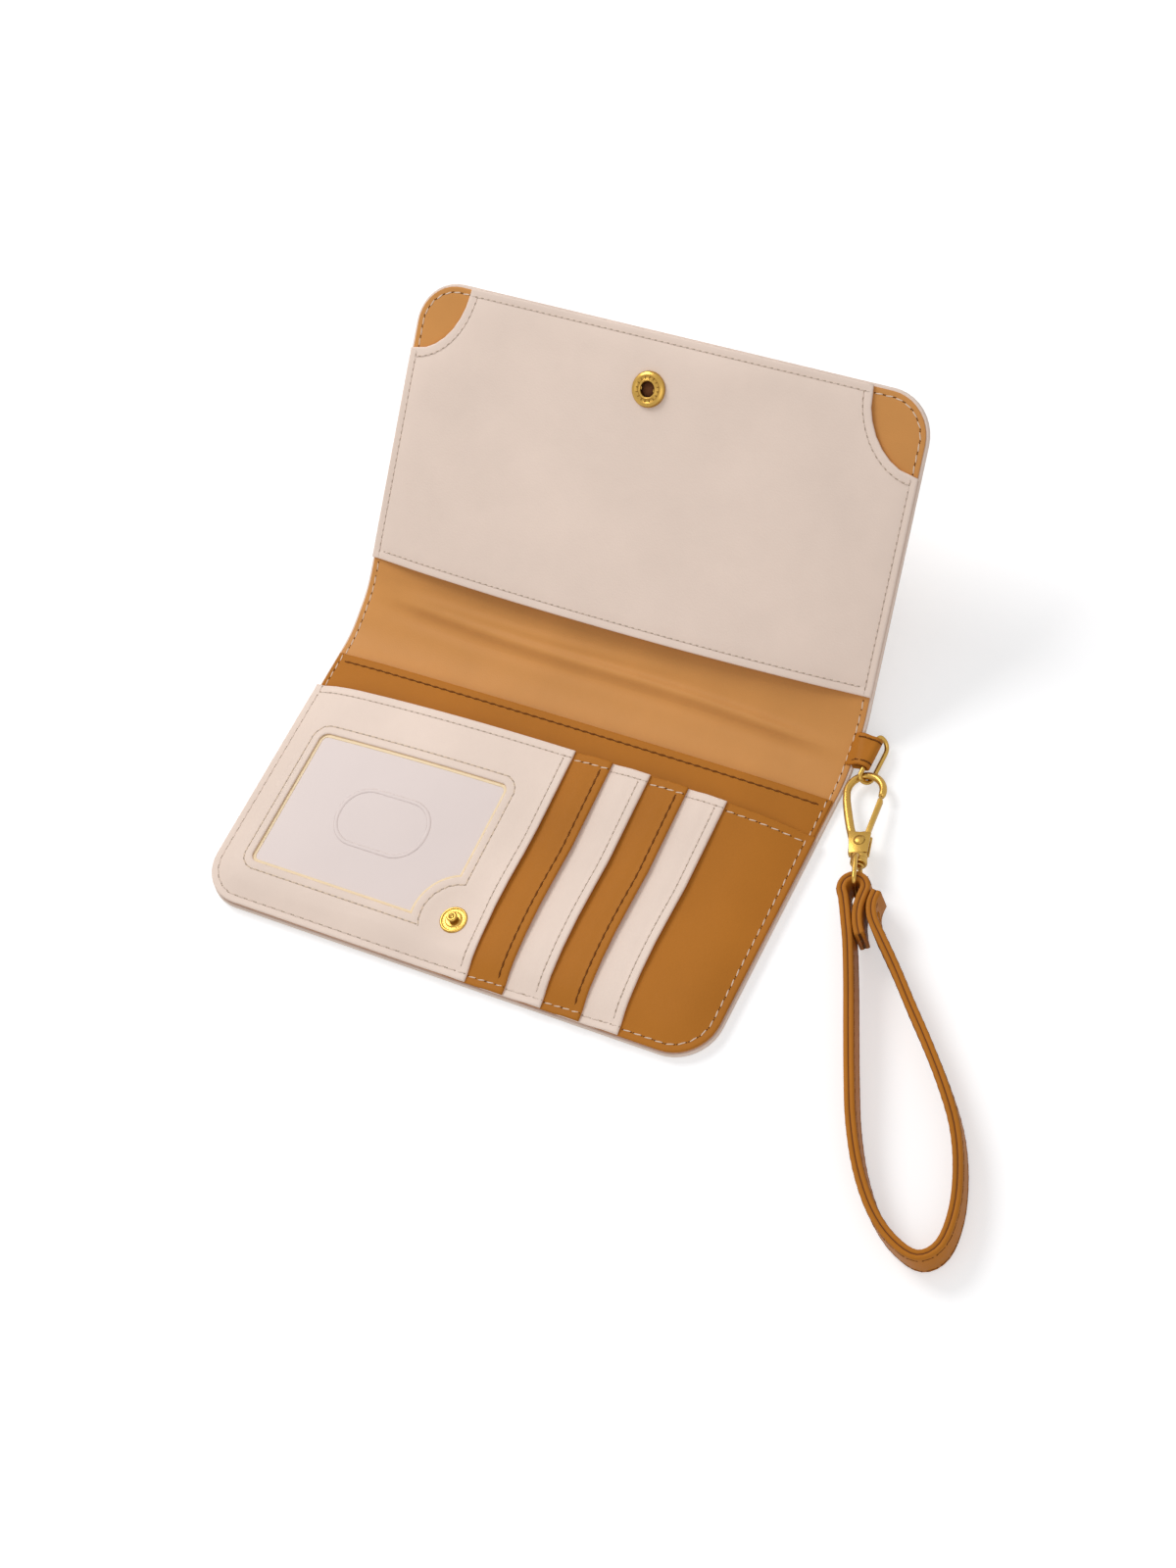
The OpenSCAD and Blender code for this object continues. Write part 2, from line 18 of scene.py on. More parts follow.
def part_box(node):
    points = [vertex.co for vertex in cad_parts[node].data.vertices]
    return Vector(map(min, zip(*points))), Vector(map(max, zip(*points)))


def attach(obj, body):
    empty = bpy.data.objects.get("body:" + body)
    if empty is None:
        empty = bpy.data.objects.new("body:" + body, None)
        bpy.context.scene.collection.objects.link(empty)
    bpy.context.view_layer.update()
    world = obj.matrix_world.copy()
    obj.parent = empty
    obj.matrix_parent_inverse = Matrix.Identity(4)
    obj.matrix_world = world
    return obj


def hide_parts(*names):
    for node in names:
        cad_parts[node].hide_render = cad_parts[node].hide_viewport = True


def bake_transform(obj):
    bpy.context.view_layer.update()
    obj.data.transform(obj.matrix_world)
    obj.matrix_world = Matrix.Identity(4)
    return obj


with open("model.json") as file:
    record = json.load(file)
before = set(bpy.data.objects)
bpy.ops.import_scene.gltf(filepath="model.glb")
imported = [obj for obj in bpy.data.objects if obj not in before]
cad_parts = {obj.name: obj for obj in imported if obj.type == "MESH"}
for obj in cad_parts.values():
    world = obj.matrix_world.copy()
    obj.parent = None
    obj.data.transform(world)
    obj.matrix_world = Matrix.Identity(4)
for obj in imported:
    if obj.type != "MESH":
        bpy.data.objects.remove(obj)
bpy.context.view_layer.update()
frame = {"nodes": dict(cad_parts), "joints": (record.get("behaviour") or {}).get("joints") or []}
scene = bpy.context.scene
MM = 0.001
joints = {joint["name"]: joint for joint in frame["joints"]}


def box_mm(node):
    """A CAD node's lowest and highest corners, in millimetres."""
    low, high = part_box(node)
    return low / MM, high / MM


def joint_mm(name):
    """A joint's place, in millimetres."""
    return Vector(joints[name]["pos_m"]) / MM


def joint_axis(name):
    return Vector(joints[name]["axis"]).normalized()


# %% Read the cover's sizes from the frame
cover_low, cover_high = box_mm("cover_front")
half_w = cover_high.x
fold_low, fold_up = joint_mm("fold_lower"), joint_mm("fold_upper")
lining_z = fold_low.z
front_l = fold_low.y - cover_low.y
back_l = (fold_up - fold_low).length
flap_l = front_l
far_s = back_l + flap_l      # the flap's free edge, from the lower fold line
fold_slope = math.atan2(fold_up.z - fold_low.z, fold_up.y - fold_low.y)
corner_r = 16                # of the four free corners, as in the cover's pattern
print(f"cover {2 * half_w:.0f} wide, folds rest at {math.degrees(fold_slope):.0f} degrees each")

# %% [markdown]
# ## The camera and the image points
# These points were read off the photograph, in its frame scaled to 1176 by 1568. The camera was
# turned and moved until the wallet's corners, its snap and its hook fell on them. A long lens
# from over a metre away gives the photograph's mild perspective, and the roll gives its slant.

# %% Named image points
W, H = 1176, 1568
POINTS = {
    "left": (208, None), "right": (968, None), "top": (None, 285), "bottom": (None, 1273),
    "stud": (454, 920), "socket": (649, 389), "thumb_slot": (382, 823),
    "window_top_left": (323, 732), "hem_left": (371, 557), "hem_right": (871, 699),
    "crease_left": (421, 608), "crease_right": (853, 755), "hook_rivet": (860, 840),
    "hook_top": (None, 772), "tab_seam": (854, 748), "tack": (880, 917),
}

# %% Set the camera
lens, sensor_width = 77.6, 36.0
aim = Vector((13.2, 28.4, 0))
distance, azimuth, elevation, roll = 1153.8, 49.14, 54.72, -26.11
camera_data = bpy.data.cameras.new("camera")
camera_data.lens = lens
camera_data.sensor_width = sensor_width
camera_data.sensor_fit = "AUTO"
camera = bpy.data.objects.new("camera", camera_data)
turn = Matrix.Rotation(math.radians(azimuth), 4, "Z")
tilt = Matrix.Rotation(math.radians(90 - elevation), 4, "X")
spin = Matrix.Rotation(math.radians(roll), 4, "Z")
stand = Matrix.Translation((0, 0, distance * MM))
camera.matrix_world = Matrix.Translation(aim * MM) @ turn @ tilt @ stand @ spin
scene.collection.objects.link(camera)
scene.camera = camera
scene.view_settings.view_transform = "Standard"
print("camera at", [round(c, 3) for c in camera.matrix_world.translation])


# %% A ray through an image point, and a point's place in the image
LENS_PX = max(W, H) * lens / sensor_width      # the lens in pixels of this frame


def point_ray(point):
    """Where the ray through an image point starts, and its direction."""
    way = Vector((point[0] - W / 2, H / 2 - point[1], -LENS_PX))
    place = camera.matrix_world
    return place.translation, (place.to_3x3() @ way).normalized()


def place_on(tree, point):
    """Where the ray through an image point meets a surface, or passes nearest to it."""
    start, way = point_ray(point)
    hit = tree.ray_cast(start, way)[0]
    if hit is None:
        steps = [start + way * step * MM for step in range(900, 1500, 4)]
        hit = min((tree.find_nearest(step) for step in steps), key=lambda near: near[3])[0]
    return hit


def image_points(places):
    """The image points where places in metres show, one row of x and y for each."""
    places = np.array(places, float).reshape(-1, 3)
    local = np.c_[places, np.ones(len(places))] @ np.array(camera.matrix_world.inverted()).T
    return np.c_[W / 2 + local[:, 0] * LENS_PX / -local[:, 2],
                 H / 2 - local[:, 1] * LENS_PX / -local[:, 2]]


def image_of(place):
    return image_points([place])[0]


stud_low, stud_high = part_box("snap_stud")
print("the stud shows at", [round(c) for c in image_of((stud_low + stud_high) / 2)])

# %% [markdown]
# ## Finishes
# All the leather is coated, so it has a fine pebble and a soft sheen. One function makes each
# leather: a pebble from Voronoi cells, uneven colour from large soft noise, and a bump from both.
# The patterns read Object coordinates, which are metres here, so a scale of 1400 makes cells of
# about 0.7 mm. The numbers that are the same all over go straight on the shader's own sockets.
# Thread, metal, board and vinyl use the same three helpers: paint, dull and dent.


# %% Helpers for node materials
MIX_FACTOR, MIX_FIRST, MIX_SECOND, MIX_COLOUR = 0, 6, 7, 2      # a colour mix's own sockets


def new_material(name, base, roughness, metallic=0.0, **sockets):
    material = bpy.data.materials.new(name)
    material.use_nodes = True
    shader = material.node_tree.nodes["Principled BSDF"]
    shader.inputs["Base Color"].default_value = (*base, 1)
    shader.inputs["Roughness"].default_value = roughness
    shader.inputs["Metallic"].default_value = metallic
    for socket, value in sockets.items():
        shader.inputs[socket.replace("_", " ")].default_value = value
    return material, shader


def add(material, kind, **inputs):
    """Adds a node and sets its inputs, from values or from other nodes' sockets."""
    node = material.node_tree.nodes.new(kind)
    for name, value in inputs.items():
        socket = node.inputs[name.replace("_", " ")]
        if isinstance(value, bpy.types.NodeSocket):
            material.node_tree.links.new(value, socket)
        else:
            socket.default_value = value
    return node


def object_place(material):
    """A place on the piece itself, so that a pattern stays on it when it moves."""
    return add(material, "ShaderNodeTexCoord").outputs["Object"]


def shade(colour, by):
    return tuple(min(1.0, c * by) for c in colour)


# %% Helpers that bring a pattern to the shader
def paint(material, shader, pattern, first, second):
    """Colours the surface between two colours, by a pattern."""
    links = material.node_tree.links
    mix = add(material, "ShaderNodeMix")
    mix.data_type = "RGBA"
    mix.inputs[MIX_FIRST].default_value = (*first, 1)
    mix.inputs[MIX_SECOND].default_value = (*second, 1)
    links.new(pattern, mix.inputs[MIX_FACTOR])
    links.new(mix.outputs[MIX_COLOUR], shader.inputs["Base Color"])


def dull(material, shader, pattern, low, high):
    """Makes the surface unevenly rough, by a pattern."""
    rough = add(material, "ShaderNodeMapRange", Value=pattern, To_Min=low, To_Max=high)
    material.node_tree.links.new(rough.outputs["Result"], shader.inputs["Roughness"])


def dent(material, shader, pattern, strength, distance, **over):
    """Dents the surface by a pattern, and over another dent's normal if that is given."""
    bump = add(material, "ShaderNodeBump", Height=pattern, Strength=strength, Distance=distance,
               **over)
    material.node_tree.links.new(bump.outputs["Normal"], shader.inputs["Normal"])
    return bump.outputs["Normal"]


# %% Leather
FINE_DENT = 0.0001      # depth of grain, thread, scratches and torn edges, in metres


def leather_finish(name, base, roughness=0.5, pebble=1400, depth=0.05, uneven=0.06, gloss=0.3):
    material, shader = new_material(name, base, roughness, Specular_IOR_Level=gloss)
    place = object_place(material)
    cells = add(material, "ShaderNodeTexVoronoi", Vector=place, Scale=pebble)
    soft = add(material, "ShaderNodeTexNoise", Vector=place, Scale=18, Detail=4, Roughness=0.55)
    fine = add(material, "ShaderNodeTexNoise", Vector=place, Scale=600, Detail=3)
    spread = add(material, "ShaderNodeMapRange", Value=soft.outputs["Fac"], From_Min=0.3,
                 From_Max=0.7)
    paint(material, shader, spread.outputs["Result"], shade(base, 1 - uneven),
          shade(base, 1 + uneven))
    dull(material, shader, fine.outputs["Fac"], roughness - 0.07, roughness + 0.07)
    grain = dent(material, shader, cells.outputs["Distance"], depth * 6, FINE_DENT)
    dent(material, shader, soft.outputs["Fac"], 0.25, 0.002, Normal=grain)
    return material


cream = leather_finish("cream_hide", (0.86, 0.70, 0.595), gloss=0.2)
cream_outer = leather_finish("cream_hide_outside", (0.86, 0.70, 0.595), roughness=0.52,
                             depth=0.09, gloss=0.2)
brown = leather_finish("brown_hide", (0.47, 0.172, 0.024), uneven=0.08, gloss=0.05)
strap_brown = leather_finish("strap_hide", (0.50, 0.18, 0.022), roughness=0.45, uneven=0.1,
                             gloss=0.06)
tan = leather_finish("tan_hide", (0.66, 0.30, 0.088), roughness=0.45, pebble=2000, uneven=0.08,
                     gloss=0.1)
raw_edge = leather_finish("raw_edge", (0.74, 0.56, 0.40), roughness=0.8, pebble=2600, uneven=0.14)
print("leathers:", [m.name for m in (cream, cream_outer, brown, strap_brown, tan, raw_edge)])


# %% Thread
def thread_finish(name, base):
    """Twisted thread: fine slanted ridges, and matt."""
    material, shader = new_material(name, base, 0.8, Specular_IOR_Level=0.1)
    ply = add(material, "ShaderNodeTexWave", Vector=object_place(material), Scale=900,
              Distortion=1.5).outputs["Fac"]
    paint(material, shader, ply, shade(base, 0.82), shade(base, 1.08))
    dent(material, shader, ply, 0.5, FINE_DENT)
    return material


cream_thread = thread_finish("cream_thread", (0.86, 0.68, 0.52))
window_thread = thread_finish("window_thread", (0.80, 0.64, 0.48))
pale_thread = thread_finish("pale_thread", (0.80, 0.66, 0.56))
brown_thread = thread_finish("brown_thread", (0.21, 0.07, 0.012))


# %% Painted shade of needle holes and gaps
def painted_shade_finish(name, base, gloss=0.0):
    """Painted shade for a needle hole or a gap: a dark colour, matt, rough and a little uneven."""
    material, shader = new_material(name, base, 0.9, Specular_IOR_Level=gloss)
    torn = add(material, "ShaderNodeTexNoise", Vector=object_place(material), Scale=900,
               Detail=3).outputs["Fac"]
    paint(material, shader, torn, shade(base, 0.75), shade(base, 1.25))
    dent(material, shader, torn, 0.4, FINE_DENT)
    return material


# The dark of a needle hole is painted shade on a flat ball, deep on brown leather and paler on
# cream.
needle_hole_shade = painted_shade_finish("needle_hole_shade", (0.16, 0.06, 0.018))
pale_hole_shade = painted_shade_finish("pale_needle_hole", (0.50, 0.39, 0.30))
# Painted shade for the groove between the strap's two layers and for the snap socket's bore.
painted_gap_shade = painted_shade_finish("painted_gap_shade", (0.13, 0.04, 0.008), gloss=0.5)


# %% Metal
def metal_finish(name, base, roughness, wear=0.12):
    """Antique gold plating: soft reflections, fine scratches and duller patches."""
    material, shader = new_material(name, base, roughness, metallic=1.0)
    place = object_place(material)
    patches = add(material, "ShaderNodeTexNoise", Vector=place, Scale=260, Detail=5).outputs["Fac"]
    stretch = add(material, "ShaderNodeMapping", Vector=place, Scale=(5200, 900, 900))
    scratch = add(material, "ShaderNodeTexNoise", Vector=stretch.outputs["Vector"], Scale=1,
                  Detail=2).outputs["Fac"]
    paint(material, shader, patches, shade(base, 1 - wear), shade(base, 1 + wear))
    dull(material, shader, patches, roughness - 0.09, roughness + 0.12)
    dent(material, shader, scratch, 0.12, FINE_DENT)
    return material


gold = metal_finish("gold_plate", (0.50, 0.30, 0.07), 0.27)
# A darker gold for the ring in the rivet's groove and for the snap's notches: painted shade of
# these recesses.
recess_shade_gold = metal_finish("gold_recess", (0.26, 0.15, 0.035), 0.42)

# %% Board and clear vinyl
board, board_shader = new_material("stiffener_board", (0.30, 0.27, 0.23), 0.9)
fibre = add(board, "ShaderNodeTexNoise", Vector=object_place(board), Scale=900, Detail=6)
paint(board, board_shader, fibre.outputs["Fac"], (0.24, 0.21, 0.18), (0.38, 0.35, 0.3))
vinyl, vinyl_shader = new_material("clear_vinyl", (0.72, 0.61, 0.575), 0.38,
                                   Specular_IOR_Level=0.2)
ripple = add(vinyl, "ShaderNodeTexNoise", Vector=object_place(vinyl), Scale=26, Detail=2)
paint(vinyl, vinyl_shader, ripple.outputs["Fac"], (0.76, 0.65, 0.61), (0.81, 0.69, 0.645))
dent(vinyl, vinyl_shader, ripple.outputs["Fac"], 0.12, 0.004)
vinyl_rim = leather_finish("vinyl_rim", (0.92, 0.73, 0.47), roughness=0.4, uneven=0.05, gloss=0.2)

# %% Which slot each finish belongs to
SLOTS = {"cream_leather": (cream, cream_outer, raw_edge, cream_thread, window_thread, pale_thread),
         "brown_leather": (brown, strap_brown, brown_thread, painted_gap_shade), "tan_lining": (tan,),
         "clear_window": (vinyl, vinyl_rim), "gold_metal": (gold, recess_shade_gold)}
SLOT_OF = {finish.name: slot for slot, finishes in SLOTS.items() for finish in finishes}
print("finishes:", len(SLOT_OF), "in slots", ", ".join(SLOTS))

# %% [markdown]
# ## A map of the cover
# The cover is one flat piece of leather, bent along two soft lines. So every leather piece is
# drawn flat, with x across and s along from the lower fold line, and then laid on the bent
# cover, n over its lining. This keeps the seams true, as on a real wallet cut from flat patterns.

# %% Lay a flat point on the bent cover
BEND = 5.5      # half of the stretch that bends at each fold


def cover_line(s):
    """y, z and slope of the lining's face at s from the lower fold line."""
    y, z, slope, at = fold_low.y, lining_z, 0.0, 0.0
    for fold_s in (0.0, back_l):
        straight = min(s, fold_s - BEND) - at
        y, z = y + straight * math.cos(slope), z + straight * math.sin(slope)
        at += straight
        if s <= fold_s - BEND:
            return y, z, slope
        radius = BEND / math.tan(fold_slope / 2)
        bent = fold_slope * min((s - at) / (2 * BEND), 1)
        y += radius * (math.sin(slope + bent) - math.sin(slope))
        z += radius * (math.cos(slope) - math.cos(slope + bent))
        slope, at = slope + bent, min(s, fold_s + BEND)
        if s <= at:
            return y, z, slope
    return y + (s - at) * math.cos(slope), z + (s - at) * math.sin(slope), slope


def lay(x, s, n):
    """A flat point's place on the bent cover, in millimetres."""
    y, z, slope = cover_line(s)
    return Vector((x, y - n * math.sin(slope), z + n * math.cos(slope)))


def rim_distance(x, s):
    """How far a flat point is from the cover's outer edge."""
    across = half_w - abs(x)
    along = min(s + front_l, far_s - s)
    if across < corner_r and along < corner_r:
        return corner_r - math.hypot(corner_r - across, corner_r - along)
    return min(across, along)


def unit(value):
    """The value, held between 0 and 1."""
    return min(1.0, max(0.0, value))


def ease(low, high, value):
    """0 up to low, 1 from high on, and smooth between."""
    t = unit((value - low) / (high - low))
    return t * t * (3 - 2 * t)


def s_where(y, spot, low, high):
    """The s between low and high where spot(s) lies at this y, found by halving."""
    for _ in range(30):
        middle = (low + high) / 2
        low, high = (middle, high) if spot(middle).y < y else (low, middle)
    return low


def flat_at(point):
    """The flat place, (x, s), where an image point's ray meets the bent cover."""
    bm = bmesh.new()
    bmesh.ops.create_grid(bm, x_segments=2, y_segments=160, size=1)
    for vert in bm.verts:
        s = -front_l + (vert.co.y + 1) / 2 * (front_l + far_s)
        vert.co = lay(vert.co.x * half_w, s, 0) * MM
    place = place_on(BVHTree.FromBMesh(bm), point) / MM
    bm.free()
    return place.x, s_where(place.y, lambda s: lay(0, s, 0), -front_l, far_s)


print("flap's edge lies at", [round(c, 1) for c in lay(0, far_s, 0)])

# %% [markdown]
# ## How a leather piece is made
# A real pocket is cut flat, its edges are pared and turned, and a seam pulls it down beside the
# edge. The same steps work here: the outline becomes one face, insets give it rings of edges
# where the turned edge and the seam will be, cuts with planes divide the rest, and a turned copy
# of it becomes the underside. Moving the rings then rounds the edge and sinks the seam.


# %% Outlines
def arc(centre, radius, start, end, steps=8):
    """Points on an arc; radius may be one number or a pair."""
    rx, ry = radius if isinstance(radius, tuple) else (radius, radius)
    angles = [math.radians(start + (end - start) * step / steps) for step in range(steps + 1)]
    return [(centre[0] + rx * math.cos(a), centre[1] + ry * math.sin(a)) for a in angles]


def panel_outline(inset, top):
    """The front panel's outline, with its two round corners, up to a straight edge at s = top."""
    side, low, r = half_w - inset, inset - front_l, corner_r - inset
    left = arc((r - side, low + r), r, 180, 270, 10)
    right = arc((side - r, low + r), r, 270, 360, 10)
    return left + right + [(side, top), (-side, top)]


def turned_over(outline):
    """The same outline on the flap, where the free edge is the far one."""
    return [(x, far_s - (s + front_l)) for x, s in reversed(outline)]


# %% A flat sheet, ringed and divided
ON_CUT = 0.002      # a vertex this near a cutting plane counts as on it


def parts_of(bm):
    return bm.verts[:] + bm.edges[:] + bm.faces[:]


def verts_of(parts):
    return [part for part in parts if isinstance(part, bmesh.types.BMVert)]


def flat_sheet(loops, rings, cells, keep=None):
    """Fills an outline and its holes, and divides it. keep = (s, side) cuts it off at s."""
    bm = bmesh.new()
    edges = []
    for loop in loops:
        verts = [bm.verts.new((x, s, 0)) for x, s in loop]
        edges += [bm.edges.new(pair) for pair in zip(verts, verts[1:] + verts[:1])]
    bmesh.ops.triangle_fill(bm, edges=edges, use_beauty=True)
    if len(loops) == 1:
        bmesh.ops.dissolve_faces(bm, faces=bm.faces[:])
    for face in bm.faces:
        if face.normal.z < 0:
            face.normal_flip()
    inner, last = bm.faces[:], 0.0
    for ring in rings:
        bmesh.ops.inset_region(bm, faces=inner, thickness=ring - last, use_boundary=True,
                               use_even_offset=True)
        last = ring
    for axis, cell in enumerate(cells):
        values = [point[axis] for point in loops[0]]
        count = int((max(values) - min(values)) / cell)
        for step in range(1, count + 1):
            at = min(values) + (max(values) - min(values)) * step / (count + 1)
            across = Vector((1, 0, 0)) if axis == 0 else Vector((0, 1, 0))
            bmesh.ops.bisect_plane(bm, geom=parts_of(bm), dist=ON_CUT, plane_co=across * at,
                                   plane_no=across)
    if keep:
        bmesh.ops.bisect_plane(bm, geom=parts_of(bm), dist=ON_CUT, plane_co=(0, keep[0], 0),
                               plane_no=(0, keep[1], 0), clear_outer=True)
    return bm


def edge_distances(points, loops):
    """Each point's distance from the nearest of the outline's sides."""
    points = np.array(points)
    nearest = np.full(len(points), 1e9)
    for loop in loops:
        ends = np.array(loop)
        for a, b in zip(ends, np.roll(ends, -1, axis=0)):
            along = b - a
            t = np.clip((points - a) @ along / max(along @ along, 1e-12), 0, 1)
            nearest = np.minimum(nearest, np.linalg.norm(points - a - t[:, None] * along, axis=1))
    return nearest


# %% Make a bmesh an object
def finish_piece(bm, name, material, body=None, slot=None):
    """Brings a bmesh from millimetres to metres and makes it an object that rides on a body. Its
    slot, its finish's unless another is given, is worked out but not given to the piece."""
    bmesh.ops.scale(bm, vec=(MM, MM, MM), verts=bm.verts[:])
    mesh = bpy.data.meshes.new(name)
    bm.to_mesh(mesh)
    bm.free()
    mesh.materials.append(material)
    mesh.polygons.foreach_set("use_smooth", [True] * len(mesh.polygons))
    piece = bpy.data.objects.new(name, mesh)
    scene.collection.objects.link(piece)
    if body:
        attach(piece, body)
    slot = slot or SLOT_OF.get(material.name)
    return piece


# %% A leather piece
EDGE_RINGS = (0.06, 0.2, 0.5)      # rings of the rounded edge, as shares of the thickness
CLOSE = 1e-4                       # vertices this near each other are the same one
tops = {}                          # each piece's upper face, for the stitches on it


def leather(name, loops, height, thick, material, body=None, rings=(), cells=(4, 4), hem=None,
            spot=lay, keep=None):
    """height(x, s) is the leather's middle over the lining, and hem(x, s) its thickness there.
    rings are the distances of more edge rings, and cells the size of the divisions inside."""
    bm = flat_sheet(loops, [ring * thick for ring in EDGE_RINGS] + list(rings), cells, keep)
    flat = [(vert.co.x, vert.co.y) for vert in bm.verts]
    from_edge = edge_distances(flat, loops)
    row = bm.verts.layers.int.new("row")
    for number, vert in enumerate(bm.verts):
        vert[row] = number
    copied = bmesh.ops.duplicate(bm, geom=parts_of(bm))["geom"]
    bmesh.ops.reverse_faces(bm, faces=[part for part in copied
                                       if isinstance(part, bmesh.types.BMFace)])
    under = set(verts_of(copied))
    for vert in bm.verts:
        x, s = flat[vert[row]]
        full = hem(x, s) if hem else thick
        near = min(from_edge[vert[row]] / (full / 2), 1) if from_edge[vert[row]] > ON_CUT else 0
        half = full / 2 * math.sqrt(1 - (1 - near) ** 2)
        vert.co = spot(x, s, height(x, s) - half if vert in under else height(x, s) + half)
    rim = [vert for vert in bm.verts if from_edge[vert[row]] <= ON_CUT]
    bmesh.ops.remove_doubles(bm, verts=rim, dist=CLOSE)
    if keep:
        cut = [edge for edge in bm.edges if edge.is_boundary]
        bmesh.ops.edgeloop_fill(bm, edges=cut)
        for edge in cut:
            edge.smooth = False
    tops[name] = lambda x, s: spot(x, s, height(x, s) + (hem(x, s) if hem else thick) / 2)
    piece = finish_piece(bm, name, material, body)
    print(f"{name}: {len(piece.data.polygons)} faces")
    return piece


# %% How seams and fullness shape the leather
SEAM_IN = 3.0      # a seam's distance from the leather's edge
SIDE_IN = 0.4      # the pockets' distance from the cover's edge
SEAM_RINGS = (0.9, 1.3, 1.8, 2.4, 3.0, 3.6, 5)


def dip(distance, depth=0.13, width=0.7):
    """How far a seam pulls the leather down, at a distance from it."""
    return -depth * math.exp(-(distance / width) ** 2)


def sewn(x, s, at_rim, inside):
    """A layer's height, pressed down beside the outer seam and free inside it."""
    rim = rim_distance(x, s)
    return at_rim + (inside - at_rim) * ease(2.0, 9.0, rim) + dip(rim - SEAM_IN)


def fullness(x, s, start, length, power=1.3):
    """How a pocket's loose middle lifts: 0 at its sewn sides, 1 in the middle of its mouth."""
    across = 1 - unit(abs(x) / (half_w - 2)) ** 2.6
    return across * unit((s - start) / length) ** power * ease(3, 20, rim_distance(x, s))


print("seams lie", SEAM_IN, "mm in, and pockets start", SIDE_IN, "mm in")

# %% [markdown]
# ## The cover and its lining
# One piece of leather makes the whole outside. It bends at two folds, and a blend can cross only
# one, so it is made in two halves that meet in the middle of the back. The meeting faces are cut
# square and share one profile, so nothing shows. The lining is cloth glued to the leather, loose
# where it folds, and it keeps a few long soft creases there.

# %% The outline of the whole cover, and its halves
split = back_l / 2
HALVES = {
    "lower": {"cut": (split, 1), "bodies": ("front_panel", "back"), "fold": 0.0},
    "upper": {"cut": (split, -1), "bodies": ("back", "flap"), "fold": back_l},
}


def cover_outline(inset):
    lower = panel_outline(inset, split)[:-2]
    return lower + turned_over(panel_outline(inset, split)[:-2])


def bend_at_fold(piece, half):
    """Bakes the piece's place into its mesh; the ends of its fold are worked out but not used."""
    fold = HALVES[half]["fold"]
    start, end = lay(0, fold - BEND, 0), lay(0, fold + BEND, 0)
    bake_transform(piece)


# %% Cover
RIM_W = 1.0                       # how far the cover's rim shows round the lining
COVER_T, LINING_T = 2.0, 0.5


def rim_rise(x, s):
    """1 on the cover's rim, which stands up round the lining, and 0 inside it."""
    return 1 - ease(RIM_W - 0.25, RIM_W, rim_distance(x, s))


def cover_middle(x, s):
    return -LINING_T - COVER_T / 2 + LINING_T / 2 * rim_rise(x, s)


def cover_full(x, s):
    return COVER_T + LINING_T * rim_rise(x, s)


COVER_NODES = {"lower": ("cover_front", "cover_back"), "upper": ("cover_flap",)}
for half, facts in HALVES.items():
    cover = leather(f"cover_{half}", [cover_outline(0)], cover_middle, COVER_T, cream_outer,
                    rings=(RIM_W, 2.0, 2.6, 3.0, 3.4, 4.2), cells=(5, 2.5), hem=cover_full,
                    keep=facts["cut"])
    bend_at_fold(cover, half)
    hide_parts(*COVER_NODES[half])


# %% Lining, with the creases of its fold
MOUTH_S = far_s - 101.5      # where the flap's pocket opens, as in its pattern
crease_from, crease_to = flat_at(POINTS["crease_left"]), flat_at(POINTS["crease_right"])
crease_lean = (crease_to[1] - crease_from[1]) / (crease_to[0] - crease_from[0])
print("long crease:", [[round(c) for c in end] for end in (crease_from, crease_to)])


def crease_height(x, s):
    """One long soft fold of loose lining, the shallow valley below it and a shorter fold above."""
    line = crease_from[1] + crease_lean * (x - crease_from[0]) + 0.8 * math.sin(x / 24)
    off = s - line
    lift = 1.5 * math.exp(-(off / 2.2) ** 2) - 0.5 * math.exp(-((off + 4.6) / 2.6) ** 2)
    lift += 0.8 * math.exp(-((off - 5.5 - 0.03 * x) / 2.0) ** 2) * (1 - ease(-20, 60, x))
    inside = ease(4, 30, half_w - abs(x)) * ease(-4, 2, s)
    return lift * inside * (1 - ease(MOUTH_S - 1, MOUTH_S + 6, s))


def lining_middle(x, s):
    return -0.24 + crease_height(x, s) + dip(rim_distance(x, s) - SEAM_IN, 0.12)


def on_lining(x, s):
    return lay(x, s, lining_middle(x, s) + LINING_T / 2)


LINING_NODES = {"lower": ("lining_front", "lining_back"), "upper": ("lining_flap",)}
for half, facts in HALVES.items():
    lining = leather(f"lining_{half}", [cover_outline(RIM_W)], lining_middle, LINING_T, tan,
                     rings=(1.4, 1.7, 2.0, 2.3, 2.7), cells=(5, 0.9), keep=facts["cut"])
    bend_at_fold(lining, half)
    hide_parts(*LINING_NODES[half])

# %% [markdown]
# ## The pockets of the front panel
# Four leathers lie on one another: the note pocket, the card pocket's base, four card strips and
# the identity panel. Each strip's right edge is a turned hem that lies on the next strip, so its
# middle climbs by one leather's thickness. Only the sides and the bottom are sewn, so the
# mouths stand a little open, most in their middles.

# %% Note pocket
bill_top = box_mm("bill_pocket")[1].y - fold_low.y      # the two pockets' mouths
card_top = box_mm("card_base")[1].y - fold_low.y
front_s = -front_l                                      # the free edge
HIDE_T = 0.9                                            # pocket leather's thickness


def hidden_outline(inset, more, top):
    """A pocket's outline that runs further in where the card pocket covers it."""
    covered, free = card_top - 9, card_top - 5
    side, narrow = half_w - inset, half_w - inset - more
    high = [(narrow, covered), (side, free), (side, top)]
    return (panel_outline(inset + more, covered)[:-2] + high
            + [(-x, s) for x, s in reversed(high)])


